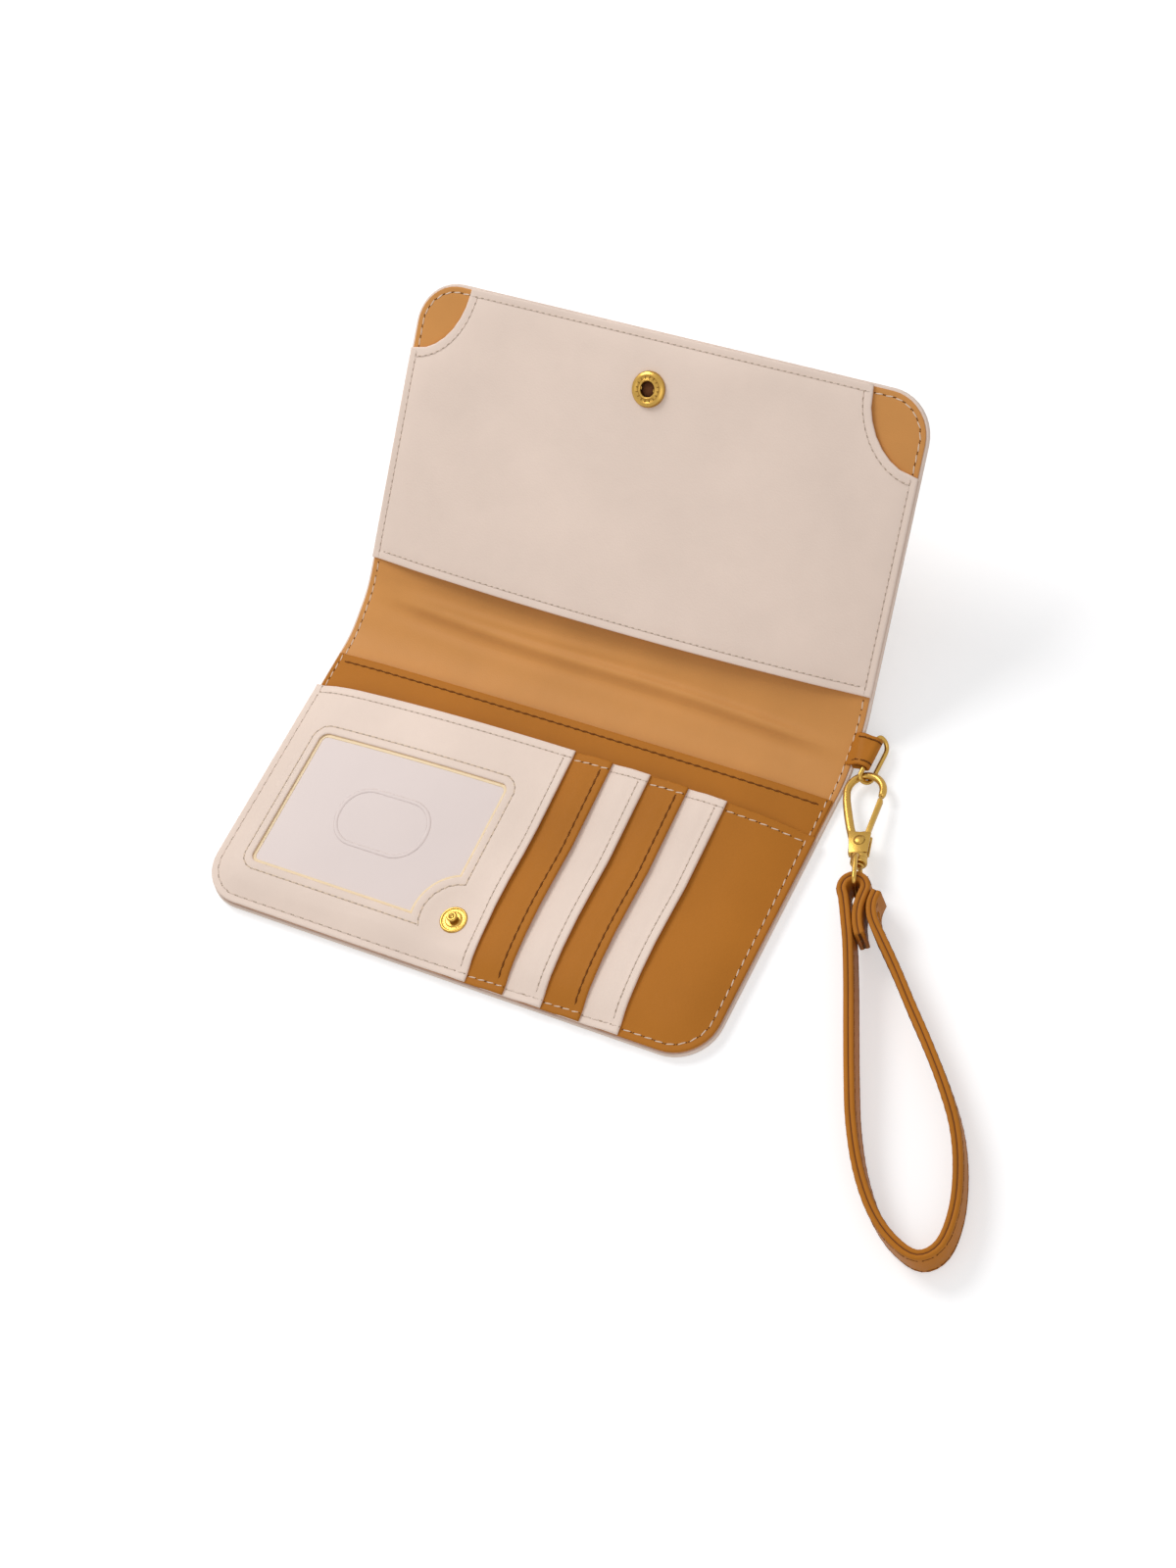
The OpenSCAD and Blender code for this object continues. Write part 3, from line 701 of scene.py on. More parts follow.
def bill_middle(x, s):
    loose = 0.95 + 1.6 * fullness(x, s, front_s + 30, bill_top - front_s - 30)
    return sewn(x, s, HIDE_T / 2, loose) + dip(bill_top - s - SEAM_IN)


bill = leather("note_pocket", [hidden_outline(1.3, 1.3, bill_top)], bill_middle, HIDE_T, brown,
               "front_panel", SEAM_RINGS)
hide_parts("bill_pocket")


# %% Where the card pocket's leathers lie
stud_spot = (stud_low + stud_high) / 2 / MM
stud_xs = (stud_spot.x, stud_spot.y - fold_low.y)


def card_spot(x, s, n):
    """The card pocket's full middle also reaches further up the panel."""
    bow = 1.8 * (1 - (x / half_w) ** 2) * ease(0, 1, part_up(s))
    return lay(x, s + bow, n)


def card_loose(x, s):
    """The middle's lift: the mouth stands open, the rest is a low cushion, hollow at the stud."""
    cushion = ease(3, 15, s - front_s) * ease(3, 15, half_w - abs(x))
    cushion *= ease(6, 15, math.hypot(x - stud_xs[0], s - stud_xs[1]))
    return 3.6 * fullness(x, s, front_s + 4, card_top - front_s - 4, 1.6) + 0.8 * cushion


def mouth_dip(s):
    return dip(card_top - s - SEAM_IN)


strip_edges = [box_mm(f"card_slot_{number}")[1].x for number in (1, 2, 3, 4)]
id_edge = box_mm("id_panel")[1].x
pitch = strip_edges[1] - strip_edges[0]
SLANT, STRIP_BOW, STRIP_LAP = 2.2, 1.3, 9      # a strip's lean, bow and hidden width


def part_up(s):
    """How far up the card pocket s lies: 0 at the free edge, 1 at the mouth."""
    return (s - front_s) / (card_top - front_s)


def edge_x(edge, s):
    """A strip's right edge leans to the left on its way up, and bows where it is fullest."""
    bow = STRIP_BOW * math.sin(math.pi * unit(part_up(s) / 0.6))
    return edge - SLANT * part_up(s) - bow


def hemmed(back, more):
    """A strip's thickness, with its edge turned under for 4 mm."""
    return HIDE_T + more * (1 - ease(3.4, 4.6, back))


def card_layer(*facts, **more):
    """A leather of the card pocket: it lies on the front panel and bows with the pocket."""
    return leather(*facts, "front_panel", spot=card_spot, **more)


# %% Card base
def base_middle(x, s):
    return sewn(x, s, 1.35, 2.05 + card_loose(x, s)) + mouth_dip(s)


base_left = strip_edges[3] - STRIP_LAP
base_outline = [(base_left, front_s + SIDE_IN)]
base_outline += panel_outline(SIDE_IN, card_top)[11:23] + [(base_left, card_top)]
base = card_layer("card_base_leather", [base_outline], base_middle, HIDE_T, brown,
                  rings=SEAM_RINGS)
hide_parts("card_base")


# %% Card strips
def edge_lift(back, s):
    """A strip's free right edge stands up a little between its sewn ends, and shades the next."""
    return 0.8 * math.exp(-max(back, 0) / 4) * math.sin(math.pi * unit(part_up(s)))


def strip_shape(edge):
    def middle(x, s):
        back = edge_x(edge, s) - x
        inside = 2.05 + 0.9 * (1 - ease(6.5, 14, back)) + card_loose(x, s) + edge_lift(back, s)
        at_rim = 1.35 + 0.75 * (1 - ease(5, 12, back))
        return sewn(x, s, at_rim, inside) + mouth_dip(s) + dip(back - SEAM_IN)

    def full(x, s):
        return hemmed(edge_x(edge, s) - x, 0.5)
    return middle, full


for number, (edge, hide) in enumerate(zip(strip_edges, (brown, cream, brown, cream)), 1):
    middle, full = strip_shape(edge)
    low_s, hidden_x = front_s + SIDE_IN, edge - pitch - STRIP_LAP
    outline = [(edge_x(edge, s), s) for s in np.linspace(low_s, card_top, 9)]
    outline += [(hidden_x, card_top), (hidden_x, low_s)]
    strip = card_layer(f"card_strip_{number}", [outline], middle, HIDE_T, hide, rings=SEAM_RINGS,
                       cells=(2, 4), hem=full)
    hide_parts(f"card_slot_{number}")


# %% Identity panel and its window
SHEET_LAP = Vector((3.5, 3.5, 0))      # how far the clear sheet runs behind the leather
WINDOW_R, STUD_CUT_R = 3.0, 15.5
window_low, window_high = box_mm("id_window")
window_low, window_high = window_low + SHEET_LAP, window_high - SHEET_LAP


def window_outline(grow):
    """The window, its lower right corner cut by an arc round the snap, grown by a margin."""
    left, right = window_low.x - grow, window_high.x + grow
    low, high = window_low.y - fold_low.y - grow, window_high.y - fold_low.y + grow
    r, cut = WINDOW_R + grow, STUD_CUT_R - grow
    from_low = math.degrees(math.asin((low - stud_xs[1]) / cut))
    to_side = math.degrees(math.acos((right - stud_xs[0]) / cut))
    points = arc((right - r, high - r), r, 0, 90) + arc((left + r, high - r), r, 90, 180)
    points += arc((left + r, low + r), r, 180, 270)
    return points + arc(stud_xs, cut, 180 - from_low, to_side, 14)


def id_middle(x, s):
    back = edge_x(id_edge, s) - x
    at_rim = 2.1 - 0.4 * ease(4, 20, back)
    near = edge_distances([(x, s)], [window_outline(SEAM_IN)])[0]
    seams = mouth_dip(s) + dip(near) + dip(back - SEAM_IN) * (1 if s > front_s else 0)
    return sewn(x, s, at_rim, 2.95 + card_loose(x, s) + edge_lift(back, s)) + seams


def id_full(x, s):
    return hemmed(edge_x(id_edge, s) - x, 0.3)


id_outline = panel_outline(SIDE_IN, card_top)[:11] + [(id_edge, front_s + SIDE_IN)]
id_outline += [(edge_x(id_edge, s), s) for s in np.linspace(front_s + 8, card_top, 9)]
id_outline += [(SIDE_IN - half_w, card_top)]
id_leather = card_layer("identity_panel", [id_outline, window_outline(0)], id_middle, HIDE_T,
                        cream, rings=SEAM_RINGS, cells=(3, 3), hem=id_full)
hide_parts("id_panel")


# %% Clear sheet in the window
def sheet_middle(x, s):
    """The sheet, a little fuller in the middle of the window."""
    puff, flat = 0.35, (x, s + fold_low.y)
    for at, low, high in zip(flat, window_low, window_high):
        puff *= math.sin(math.pi * unit((at - low) / (high - low)))
    return 2.2 + card_loose(x, s) + puff


clear_sheet = card_layer("window_sheet", [window_outline(2.2)], sheet_middle, 0.3, vinyl,
                         cells=(3, 3))
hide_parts("id_window")

# %% The pale rim where the sheet is welded behind the leather
card_layer("window_rim", [window_outline(0.3), window_outline(-1.1)],
           lambda x, s: sheet_middle(x, s) + 0.2, 0.26, vinyl_rim, cells=(6, 6))


# %% The two thin backings
def backing_middle(x, s):
    return sewn(x, s, 0.95, 1.5 + card_loose(x, s))


def raw_middle(x, s):
    return sewn(x, s, 1.5, 2.1 + card_loose(x, s))


cloth = card_layer("card_backing_cloth", [panel_outline(SIDE_IN + 1.9, card_top - 2.5)],
                   backing_middle, 0.16, tan, cells=(6, 6))
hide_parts("card_backing")
raw_in, raw_top = SIDE_IN + 0.7, card_top - 1
bulge_low, bulge_high = front_s + 13, front_s + 62      # where its raw edge peeps out
raw_outline = panel_outline(raw_in, raw_top)[:11]
raw_outline += [(id_edge - 6, front_s + raw_in), (id_edge - 6, bulge_low - 1)]
raw_outline += [(edge_x(id_edge, s) + 1.2, s) for s in np.linspace(bulge_low, bulge_high, 7)]
raw_outline += [(edge_x(id_edge, bulge_high) - 4, bulge_high + 2), (id_edge - 7, raw_top)]
raw_outline += [(raw_in - half_w, raw_top)]
raw = card_layer("identity_backing", [raw_outline, window_outline(1.5)], raw_middle, 0.3,
                 raw_edge, cells=(6, 6))
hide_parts("id_backing")

# %% [markdown]
# ## The flap's note pocket
# It is sewn along the sides and the top, and its corners are scooped out so that a banknote can
# be pushed up from behind. The mouth faces the fold and hangs loose, so it sags towards the
# viewer and throws a shadow on the lining.

# %% Flap pocket
SCOOPS = {-1: (20.5, 25.5), 1: (23.0, 27.0)}      # left and right; the right one hangs open
SCOOP_R = 22                                      # about a scoop's radius


def flap_spot(x, s, n):
    sag = 1.5 * (1 - (x / half_w) ** 2) * ease(0, 1, (MOUTH_S + 60 - s) / 60)
    return lay(x, s - sag, n)


def scoop_distance(x, s):
    """How far a point is outside its side's scoop, an oval."""
    wide, long = SCOOPS[1 if x > 0 else -1]
    across, along = (half_w - abs(x)) / wide, (far_s - s) / long
    return (math.hypot(across, along) - 1) * SCOOP_R


def flap_middle(x, s):
    down = far_s - SIDE_IN - 12
    open_by = unit((down - s) / (down - MOUTH_S))
    across = 1 - unit(abs(x) / (half_w - 2)) ** 2.4
    loose = 0.95 + 3.4 * across * open_by ** 2 * ease(3, 20, half_w - abs(x))
    seams = dip(s - MOUTH_S - SEAM_IN) + dip(scoop_distance(x, s) - SEAM_IN)
    return sewn(x, s, 0.5, loose) + seams


def scoop_outline(size):
    """The right corner's scoop, from the pocket's far edge round to its side."""
    turns = (270 - math.degrees(SIDE_IN / SCOOPS[-1][0]), 251, 240, 229, 218, 207, 197,
             180 + math.degrees(SIDE_IN / SCOOPS[-1][1]))
    return [arc((half_w, far_s), size, turn, turn, 1)[0] for turn in turns]


side = half_w - SIDE_IN
left_scoop = [(-x, s) for x, s in reversed(scoop_outline(SCOOPS[-1]))]
flap_outline = [(-side, MOUTH_S), (side, MOUTH_S)] + scoop_outline(SCOOPS[1]) + left_scoop
flap_pocket = leather("flap_note_pocket", [flap_outline], flap_middle, HIDE_T, cream, "flap",
                      SEAM_RINGS[:-1], cells=(3.5, 3.5), spot=flap_spot)
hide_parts("flap_pocket")

# %% [markdown]
# ## Straps and wires
# A strap and a wire are both one outline carried along a line. The outline is drawn once, then
# extruded from station to station, each with its own place and directions, and the ends are
# filled. A closed ring bridges its last outline to its first.


# %% Carry an outline along a line
def carry(bm, outline, stations, closed=False):
    """A station is a place and two directions, and may have a swell for each of them. An
    outline's point (a, b) lies a along the one direction and b along the other."""
    row = bm.verts.layers.int.get("row") or bm.verts.layers.int.new("row")

    def put(vert, station):
        place, across, up, swell = station
        a, b = outline[vert[row]]
        vert.co = place + across * a * swell[0] + up * b * swell[1]

    verts = [bm.verts.new() for _ in outline]
    for number, vert in enumerate(verts):
        vert[row] = number
        put(vert, stations[0])
    first = ring = [bm.edges.new(pair) for pair in zip(verts, verts[1:] + verts[:1])]
    for station in stations[1:]:
        made = bmesh.ops.extrude_edge_only(bm, edges=ring)["geom"]
        fresh = set(verts_of(made))
        for vert in fresh:
            put(vert, station)
        ring = [part for part in made if isinstance(part, bmesh.types.BMEdge)
                and part.verts[0] in fresh and part.verts[1] in fresh]
    if closed:
        bmesh.ops.bridge_loops(bm, edges=first + ring)
    else:
        bmesh.ops.edgeloop_fill(bm, edges=first)
        bmesh.ops.edgeloop_fill(bm, edges=ring)
    bmesh.ops.recalc_face_normals(bm, faces=bm.faces[:])


def round_bar(left, right, half, r, steps=4):
    """A bar's outline from left to right and half to each side, with round corners."""
    corners = ((right - r, half - r), (left + r, half - r), (left + r, r - half),
               (right - r, r - half))
    return [point for turn, corner in enumerate(corners)
            for point in arc(corner, r, 90 * turn, 90 * turn + 90, steps)]


def circle(r, steps=12):
    return arc((0, 0), r, 0, 360 - 360 / steps, steps - 1)


def wire_stations(points, up, closed=False, swell=None):
    """Stations along a line of places; up stays square to the line's plane."""
    stations, count = [], len(points)
    for number, place in enumerate(points):
        before = points[(number - 1) % count] if closed else points[max(number - 1, 0)]
        after = points[(number + 1) % count] if closed else points[min(number + 1, count - 1)]
        across = (after - before).cross(up).normalized()
        stations.append((place, across, up, swell[number] if swell else (1, 1)))
    return stations


def carried_piece(name, outline, stations, material, body, closed=False):
    bm = bmesh.new()
    carry(bm, outline, stations, closed)
    return finish_piece(bm, name, material, body)


def smooth_line(points, steps):
    """Catmull-Rom: a curve through every point, with steps between each pair."""
    points = [Vector(point) for point in points]
    line = []
    for number in range(len(points) - 1):
        a, b = points[max(number - 1, 0)], points[number]
        c, d = points[number + 1], points[min(number + 2, len(points) - 1)]
        for step in range(steps):
            t = step / steps
            line.append(0.5 * (2 * b + (c - a) * t + (2 * a - 5 * b + 4 * c - d) * t * t
                               + (3 * b - a - 3 * c + d) * t ** 3))
    return line + [points[-1]]


# %% The wrist strap
HOOK_TURN, STRAP_RISE = math.radians(22.5), math.radians(1.73)
strap_frame = (Matrix.Translation(joint_mm("strap_swing")) @ Matrix.Rotation(HOOK_TURN, 4, "Z")
               @ Matrix.Rotation(STRAP_RISE, 4, "X"))
STRAP_HALF, STRAP_T, FOLD_R = 5.6, 1.7, 3.9
TUCK = [(2.6, -17.5), (1.8, -14), (1.5, -10), (1.9, -6.5), (3, -3)]
LOOP = [(-3.3, -3), (-2.7, -7), (-2.1, -12), (-1.2, -20), (-0.4, -34), (0.2, -50), (0.9, -66),
        (2, -82), (4.8, -98), (9.6, -112), (16.2, -122), (24, -127.5), (31, -124), (35, -113),
        (36, -99), (34.6, -85), (30.6, -71), (25, -56), (19.6, -43), (14.4, -30), (9.6, -19),
        (7, -13), (6.1, -9), (6.3, -5.5), (7.6, -2)]
strap_line = smooth_line([(x, y, 0) for x, y in TUCK + arc((0, 0), FOLD_R, 0, 180, 4) + LOOP], 4)
strap_up = (strap_frame.to_3x3() @ Vector((0, 0, 1))).normalized()
strap_stations = wire_stations([strap_frame @ point for point in strap_line], -strap_up)
strap_run = [0.0]
for one, two in zip(strap_line, strap_line[1:]):
    strap_run.append(strap_run[-1] + (two - one).length)


def strap_face(offset):
    """The strap's face at an offset from its middle line, as top(distance along, height)."""
    def top(u, v):
        u = min(max(u, 0), strap_run[-1] - 1e-6)
        at = int(np.searchsorted(strap_run, u, side="right")) - 1
        part = (u - strap_run[at]) / (strap_run[at + 1] - strap_run[at])
        (p, across, up, _), (q, next_across, _, _) = strap_stations[at], strap_stations[at + 1]
        return p.lerp(q, part) + across.lerp(next_across, part) * offset + up * v
    return top


for name, node, left, right in (("strap_outer_leather", "strap_outer", -STRAP_T, -0.04),
                                ("strap_inner_leather", "strap_inner", 0.04, STRAP_T)):
    strap = carried_piece(name, round_bar(left, right, STRAP_HALF, 0.72), strap_stations,
                          strap_brown, "strap")
    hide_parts(node)
# A dark strip in the groove between the strap's two layers: painted shade.
carried_piece("strap_groove_shade", round_bar(-0.5, 0.5, STRAP_HALF - 0.35, 0.2), strap_stations,
              painted_gap_shade, "strap")
print("strap:", round(strap_run[-1]), "mm long")

# %% The tack that holds the loop together, a small turned end of leather
strap_x = (strap_frame.to_3x3() @ Vector((1, 0, 0))).normalized()
strap_y = (strap_frame.to_3x3() @ Vector((0, 1, 0))).normalized()
tack_at = strap_frame @ Vector((7.6, -9, 0))
tack_line = [(tack_at + strap_x * out, strap_y, strap_up, (swell, swell))
             for out, swell in ((-0.4, 1), (0.2, 1), (0.6, 0.85), (0.8, 0.5))]
tack = carried_piece("strap_tack_leather", round_bar(-1.2, 1.2, 2.4, 0.9), tack_line, strap_brown,
                     "strap")
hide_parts("strap_tack")

# %% The tab that holds the ring
bar = joint_mm("ring_swing")
TAB_Y, TAB_HALF, TAB_T = 66.77, 5.75, 1.1
tab_line = [(97.2, 5.5), (99.6, 7.0), (101.8, 7.7)]
tab_line += arc((bar.x, bar.z), 1.5, 95, -95, 8) + [(101.8, 4.75), (99.6, 5.0), (97.4, 4.4)]
tab_line = smooth_line([(x, TAB_Y, z) for x, z in tab_line], 3)
tab_stations = []
for number, place in enumerate(tab_line):
    before, after = tab_line[max(number - 1, 0)], tab_line[min(number + 1, len(tab_line) - 1)]
    lean = fold_slope * (1 - ease(99, 103, place.x))
    width = Vector((0, math.cos(lean), math.sin(lean)))
    tab_stations.append((place, (after - before).cross(width).normalized(), width, (1, 1)))
tab = carried_piece("ring_tab", round_bar(-TAB_T / 2, TAB_T / 2, TAB_HALF, 0.45), tab_stations,
                    strap_brown, "back")
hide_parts("strap_tab")


def tab_face(u, v):
    """The tab's upper face at u along its line and v across."""
    at = min(max(u, 0), len(tab_stations) - 1.001)
    (p, across, width, _), following = tab_stations[int(at)], tab_stations[int(at) + 1]
    return p.lerp(following[0], at - int(at)) + across * (TAB_T / 2) + width * v


# %% [markdown]
# ## Ring, hook and snap
# The hook is cast: its wire is round over the bow, flat down the back and joins a plate with a
# slot for the gate. Everything is drawn in the hook's own frame, which the joints give.

# %% The thumb slot pressed into the window's sheet
def tree_of(*pieces):
    """The finished faces of some pieces, for a ray to meet."""
    bm = bmesh.new()
    for piece in pieces:
        bm.from_mesh(piece.data)
    tree = BVHTree.FromBMesh(bm)
    bm.free()
    return tree


def flat_of(place):
    """The card pocket's flat point (x, s) at a place in metres."""
    x, y = place.x / MM, place.y / MM
    return x, s_where(y, lambda s: card_spot(x, s, 2), front_s, card_top)


thumb_x, thumb_s = flat_of(place_on(tree_of(clear_sheet), POINTS["thumb_slot"]))
THUMB_W, THUMB_L = 35, 21
thumb_line = round_bar(thumb_x - THUMB_W / 2, thumb_x + THUMB_W / 2, THUMB_L / 2,
                       THUMB_L / 2 - 0.5, 12)
thumb_places = [card_spot(x, s + thumb_s, sheet_middle(x, s + thumb_s) + 0.15)
                for x, s in thumb_line]
thumb_slot = carried_piece("thumb_slot_ridge", arc((0, 0), (0.8, 0.2), 0, 330, 11),
                           wire_stations(thumb_places, Vector((0, 0, 1)), closed=True), vinyl,
                           "front_panel", closed=True)
print("thumb slot at", round(thumb_x, 1), round(thumb_s, 1))

# %% Ring
RING_WIRE, RING_DROP = 0.8, math.radians(58)
ring_frame = Matrix.Translation(bar) @ Matrix.Rotation(RING_DROP, 4, "Y")
ring_line = arc((1.3, 7.2), 1.3, 180, 90, 4) + arc((1.9, 5.1), 3.4, 90, 0, 8)
ring_line += arc((1.9, -5.1), 3.4, 0, -90, 8) + arc((1.3, -7.2), 1.3, 270, 180, 4)
ring_up = (ring_frame.to_3x3() @ Vector((0, 0, 1))).normalized()
ring_places = [ring_frame @ Vector((x, y, 0)) for x, y in ring_line]
ring = carried_piece("ring_wire", circle(RING_WIRE, 14),
                     wire_stations(ring_places, ring_up, closed=True), gold, "ring", closed=True)
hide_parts("tab_ring")

# %% The hook's frame
hook_y = -joint_axis("bail_turn")
hook_z = joint_axis("gate_open")
hook_x = hook_y.cross(hook_z).normalized()
RIVET_Y, SWIVEL_Y, BOW_R, CAST_R = -21.75, -26.75, 6.1, 1.3
hook_origin = joint_mm("gate_open") - hook_y * RIVET_Y
hook_frame = Matrix((hook_x, hook_y, hook_z)).transposed().to_4x4()
hook_frame.translation = hook_origin
hook_turn = hook_frame.to_3x3().to_4x4()


def in_hook(x, y, z=0.0):
    return hook_frame @ Vector((x, y, z))


def slab(bm, outline, low, high, soft):
    """A flat plate between two heights in the hook's frame, with softened edges."""
    verts = [bm.verts.new(in_hook(x, y, low)) for x, y in outline]
    top = bmesh.ops.extrude_face_region(bm, geom=[bm.faces.new(verts)])["geom"]
    bmesh.ops.translate(bm, vec=hook_z * (high - low), verts=verts_of(top))
    block = set(verts + verts_of(top))
    edges = [edge for edge in bm.edges if edge.verts[0] in block and edge.verts[1] in block]
    bmesh.ops.bevel(bm, geom=edges, offset=soft, segments=3, profile=0.5, affect="EDGES",
                    material=-1)


# %% Hook body: bow and back in one cast wire, then the plate
bow = arc((0.3, -0.4), (BOW_R, BOW_R + 0.5), -24, 186, 24)
back = smooth_line([bow[-1], (-5.55, -4.5), (-4.7, -10), (-3.75, -15), (-2.7, -19.4)], 4)
hook_line = [in_hook(x, y) for x, y in bow] + [in_hook(*point) for point in back[1:]]
swells = [(1.0, 1.0)] * len(bow) + [(1 + 0.12 * ease(0, 8, n), 1 - 0.1 * ease(0, 8, n))
                                    for n in range(1, len(back))]
swells[0], swells[1] = (0.8, 0.85), (0.95, 0.97)
bm = bmesh.new()
carry(bm, circle(CAST_R, 16), wire_stations(hook_line, hook_z, swell=swells))
plate = [(-3.2, SWIVEL_Y), (3.0, SWIVEL_Y), (3.75, -18.9), (1.4, -18.2), (0.1, -18.35),
         (-1.6, -18.0), (-4.0, -17.4)]
for low, high in ((-1.7, -0.95), (0.95, 1.7)):
    slab(bm, plate, low, high, 0.22)
for x0, x1, y0, y1 in ((-3.6, -2.2, -26.7, -17.6), (-2.4, 2.6, -26.7, -24.6)):
    middle = Matrix.Translation(in_hook((x0 + x1) / 2, (y0 + y1) / 2))
    bmesh.ops.create_cube(bm, size=1, matrix=middle @ hook_turn
                          @ Matrix.Diagonal((x1 - x0, y1 - y0, 2, 1)))
bmesh.ops.recalc_face_normals(bm, faces=bm.faces[:])
hook = finish_piece(bm, "hook_casting", gold, "hook")
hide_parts("hook_body")


# %% Turned pieces: a profile spun round an axis
def turned_piece(name, profile, frame_matrix, material, body, steps=40, slot=None):
    """Spins (radius, height) points round the frame's z axis."""
    bm = bmesh.new()
    verts = [bm.verts.new((r, 0, h)) for r, h in profile]
    edges = [bm.edges.new(pair) for pair in zip(verts, verts[1:])]
    bmesh.ops.spin(bm, geom=verts + edges, cent=(0, 0, 0), axis=(0, 0, 1), angle=math.tau,
                   steps=steps, use_merge=True)
    bmesh.ops.remove_doubles(bm, verts=bm.verts[:], dist=CLOSE)
    bmesh.ops.recalc_face_normals(bm, faces=bm.faces[:])
    bmesh.ops.transform(bm, matrix=frame_matrix, verts=bm.verts[:])
    return finish_piece(bm, name, material, body, slot)


def soft_corners(profile, r=0.12):
    """Rounds each inner corner of a profile with three points."""
    points = [Vector(profile[0])]
    for before, at, after in zip(profile, profile[1:], profile[2:]):
        before, at, after = Vector(before), Vector(at), Vector(after)
        a = at + (before - at).normalized() * min(r, (before - at).length * 0.4)
        b = at + (after - at).normalized() * min(r, (after - at).length * 0.4)
        points += [a, (a + b + 2 * at) / 4, b]
    return [tuple(point) for point in points + [Vector(profile[-1])]]


# %% Rivet of the gate, with a dark ring of painted shade in the groove round its head
rivet_frame = Matrix.Translation(in_hook(0, RIVET_Y)) @ hook_turn
rivet_side = [(0, 2.2), (0.9, 2.18), (1.5, 2.02), (1.72, 1.78), (1.74, 1.6), (1.0, 1.6), (1.0, 0)]
rivet_side += [(r, -h) for r, h in reversed(rivet_side[:-1])]
rivet = turned_piece("gate_rivet", rivet_side, rivet_frame, gold, "hook")
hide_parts("hook_rivet")
groove_side = [(1.72, 1.66), (1.72, 1.735), (2.0, 1.735), (2.0, 1.66), (1.72, 1.66)]
turned_piece("rivet_groove_shade", groove_side, rivet_frame, recess_shade_gold, "hook")

# %% Gate: a flat tongue that thins to its tip, with a step where it leaves the plate
gate_side = [(1.2, -22.6), (2.9, -18.7), (3.4, -17.9), (3.3, -17.3), (6.5, -5.4), (6.5, -4.3),
             (5.7, -3.5), (4.9, -4.2), (4.6, -5.6), (1.6, -17.2), (1.1, -18.6), (-1.0, -20.4),
             (-1.5, -22.2), (-0.3, -23.4)]
bm = bmesh.new()
slab(bm, gate_side, -0.78, 0.72, 0.2)
bmesh.ops.recalc_face_normals(bm, faces=bm.faces[:])
gate = finish_piece(bm, "gate_tongue", gold, "gate")
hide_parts("hook_gate")

# %% Swivel: a pin, and a barrel with two bands that carries the bail
swivel_frame = (Matrix.Translation(in_hook(0, SWIVEL_Y)) @ hook_turn
                @ Matrix.Rotation(math.radians(90), 4, "X"))
pin_side = [(0, -1.6), (1.08, -1.55), (1.08, 3.9), (1.5, 4.1), (1.9, 4.5), (1.75, 4.9),
            (1.0, 5.15), (0, 5.2)]
pin = turned_piece("swivel_pin_head", pin_side, swivel_frame, gold, "hook")
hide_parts("swivel_pin")
barrel_side = [(1.25, 0.35), (2.55, 0.35), (2.85, 0.6), (2.85, 1.5), (2.6, 1.7), (2.6, 1.95),
               (2.85, 2.15), (2.85, 3.6), (2.5, 4.05), (1.25, 4.05), (1.25, 0.35)]
turned_piece("swivel_barrel", soft_corners(barrel_side), swivel_frame, gold, "bail")
bail_frame = hook_frame @ Matrix.Rotation(math.radians(4), 4, "Y")
BAIL_R, BAIL_CORNER_R = 0.8, 1.6
bail_line = smooth_line([(0, -28.9, 1.9), (0, -30.2, 4.6), (0, -32.0, 6.8), (0, -34.5, 7.4),
                         (0, -38.5, 7.4)], 4)
bail_line += [Vector((0, -40.75 - BAIL_CORNER_R * math.sin(a), 5.8 + BAIL_CORNER_R * math.cos(a)))
              for a in np.linspace(0, math.pi / 2, 7)]
bail_line += [Vector((0, place.y, -place.z)) for place in reversed(bail_line)]
bail_up = (bail_frame.to_3x3() @ Vector((1, 0, 0))).normalized()
bail = carried_piece("swivel_bail_wire", circle(BAIL_R, 12),
                     wire_stations([bail_frame @ place for place in bail_line], bail_up), gold,
                     "bail")
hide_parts("swivel_bail")


# %% Snap: socket, stud and the cap outside
def flat_frame(x, s, n):
    """A frame on the bent cover: its z stands square to the leather."""
    y, z, slope = cover_line(s)
    return Matrix.Translation(lay(x, s, n)) @ Matrix.Rotation(slope, 4, "X")


socket_centre = (box_mm("snap_socket")[0] + box_mm("snap_socket")[1]) / 2
socket_x = socket_centre.x
reach = Vector((0, math.cos(2 * fold_slope), math.sin(2 * fold_slope)))
socket_s = back_l + (socket_centre - fold_up).dot(reach)
socket_frame = flat_frame(socket_x, socket_s, 1.4)
socket_side = soft_corners([(2.65, 0.0), (6.3, 0.0), (6.3, 0.75), (5.9, 1.35), (5.0, 1.72),
                            (4.7, 1.72), (4.4, 1.38), (3.7, 1.38), (3.4, 1.75), (2.95, 1.75),
                            (2.65, 1.4), (2.65, 0.0)], 0.14)
socket = turned_piece("snap_socket_ring", socket_side, socket_frame, gold, "flap", steps=56)
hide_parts("snap_socket")
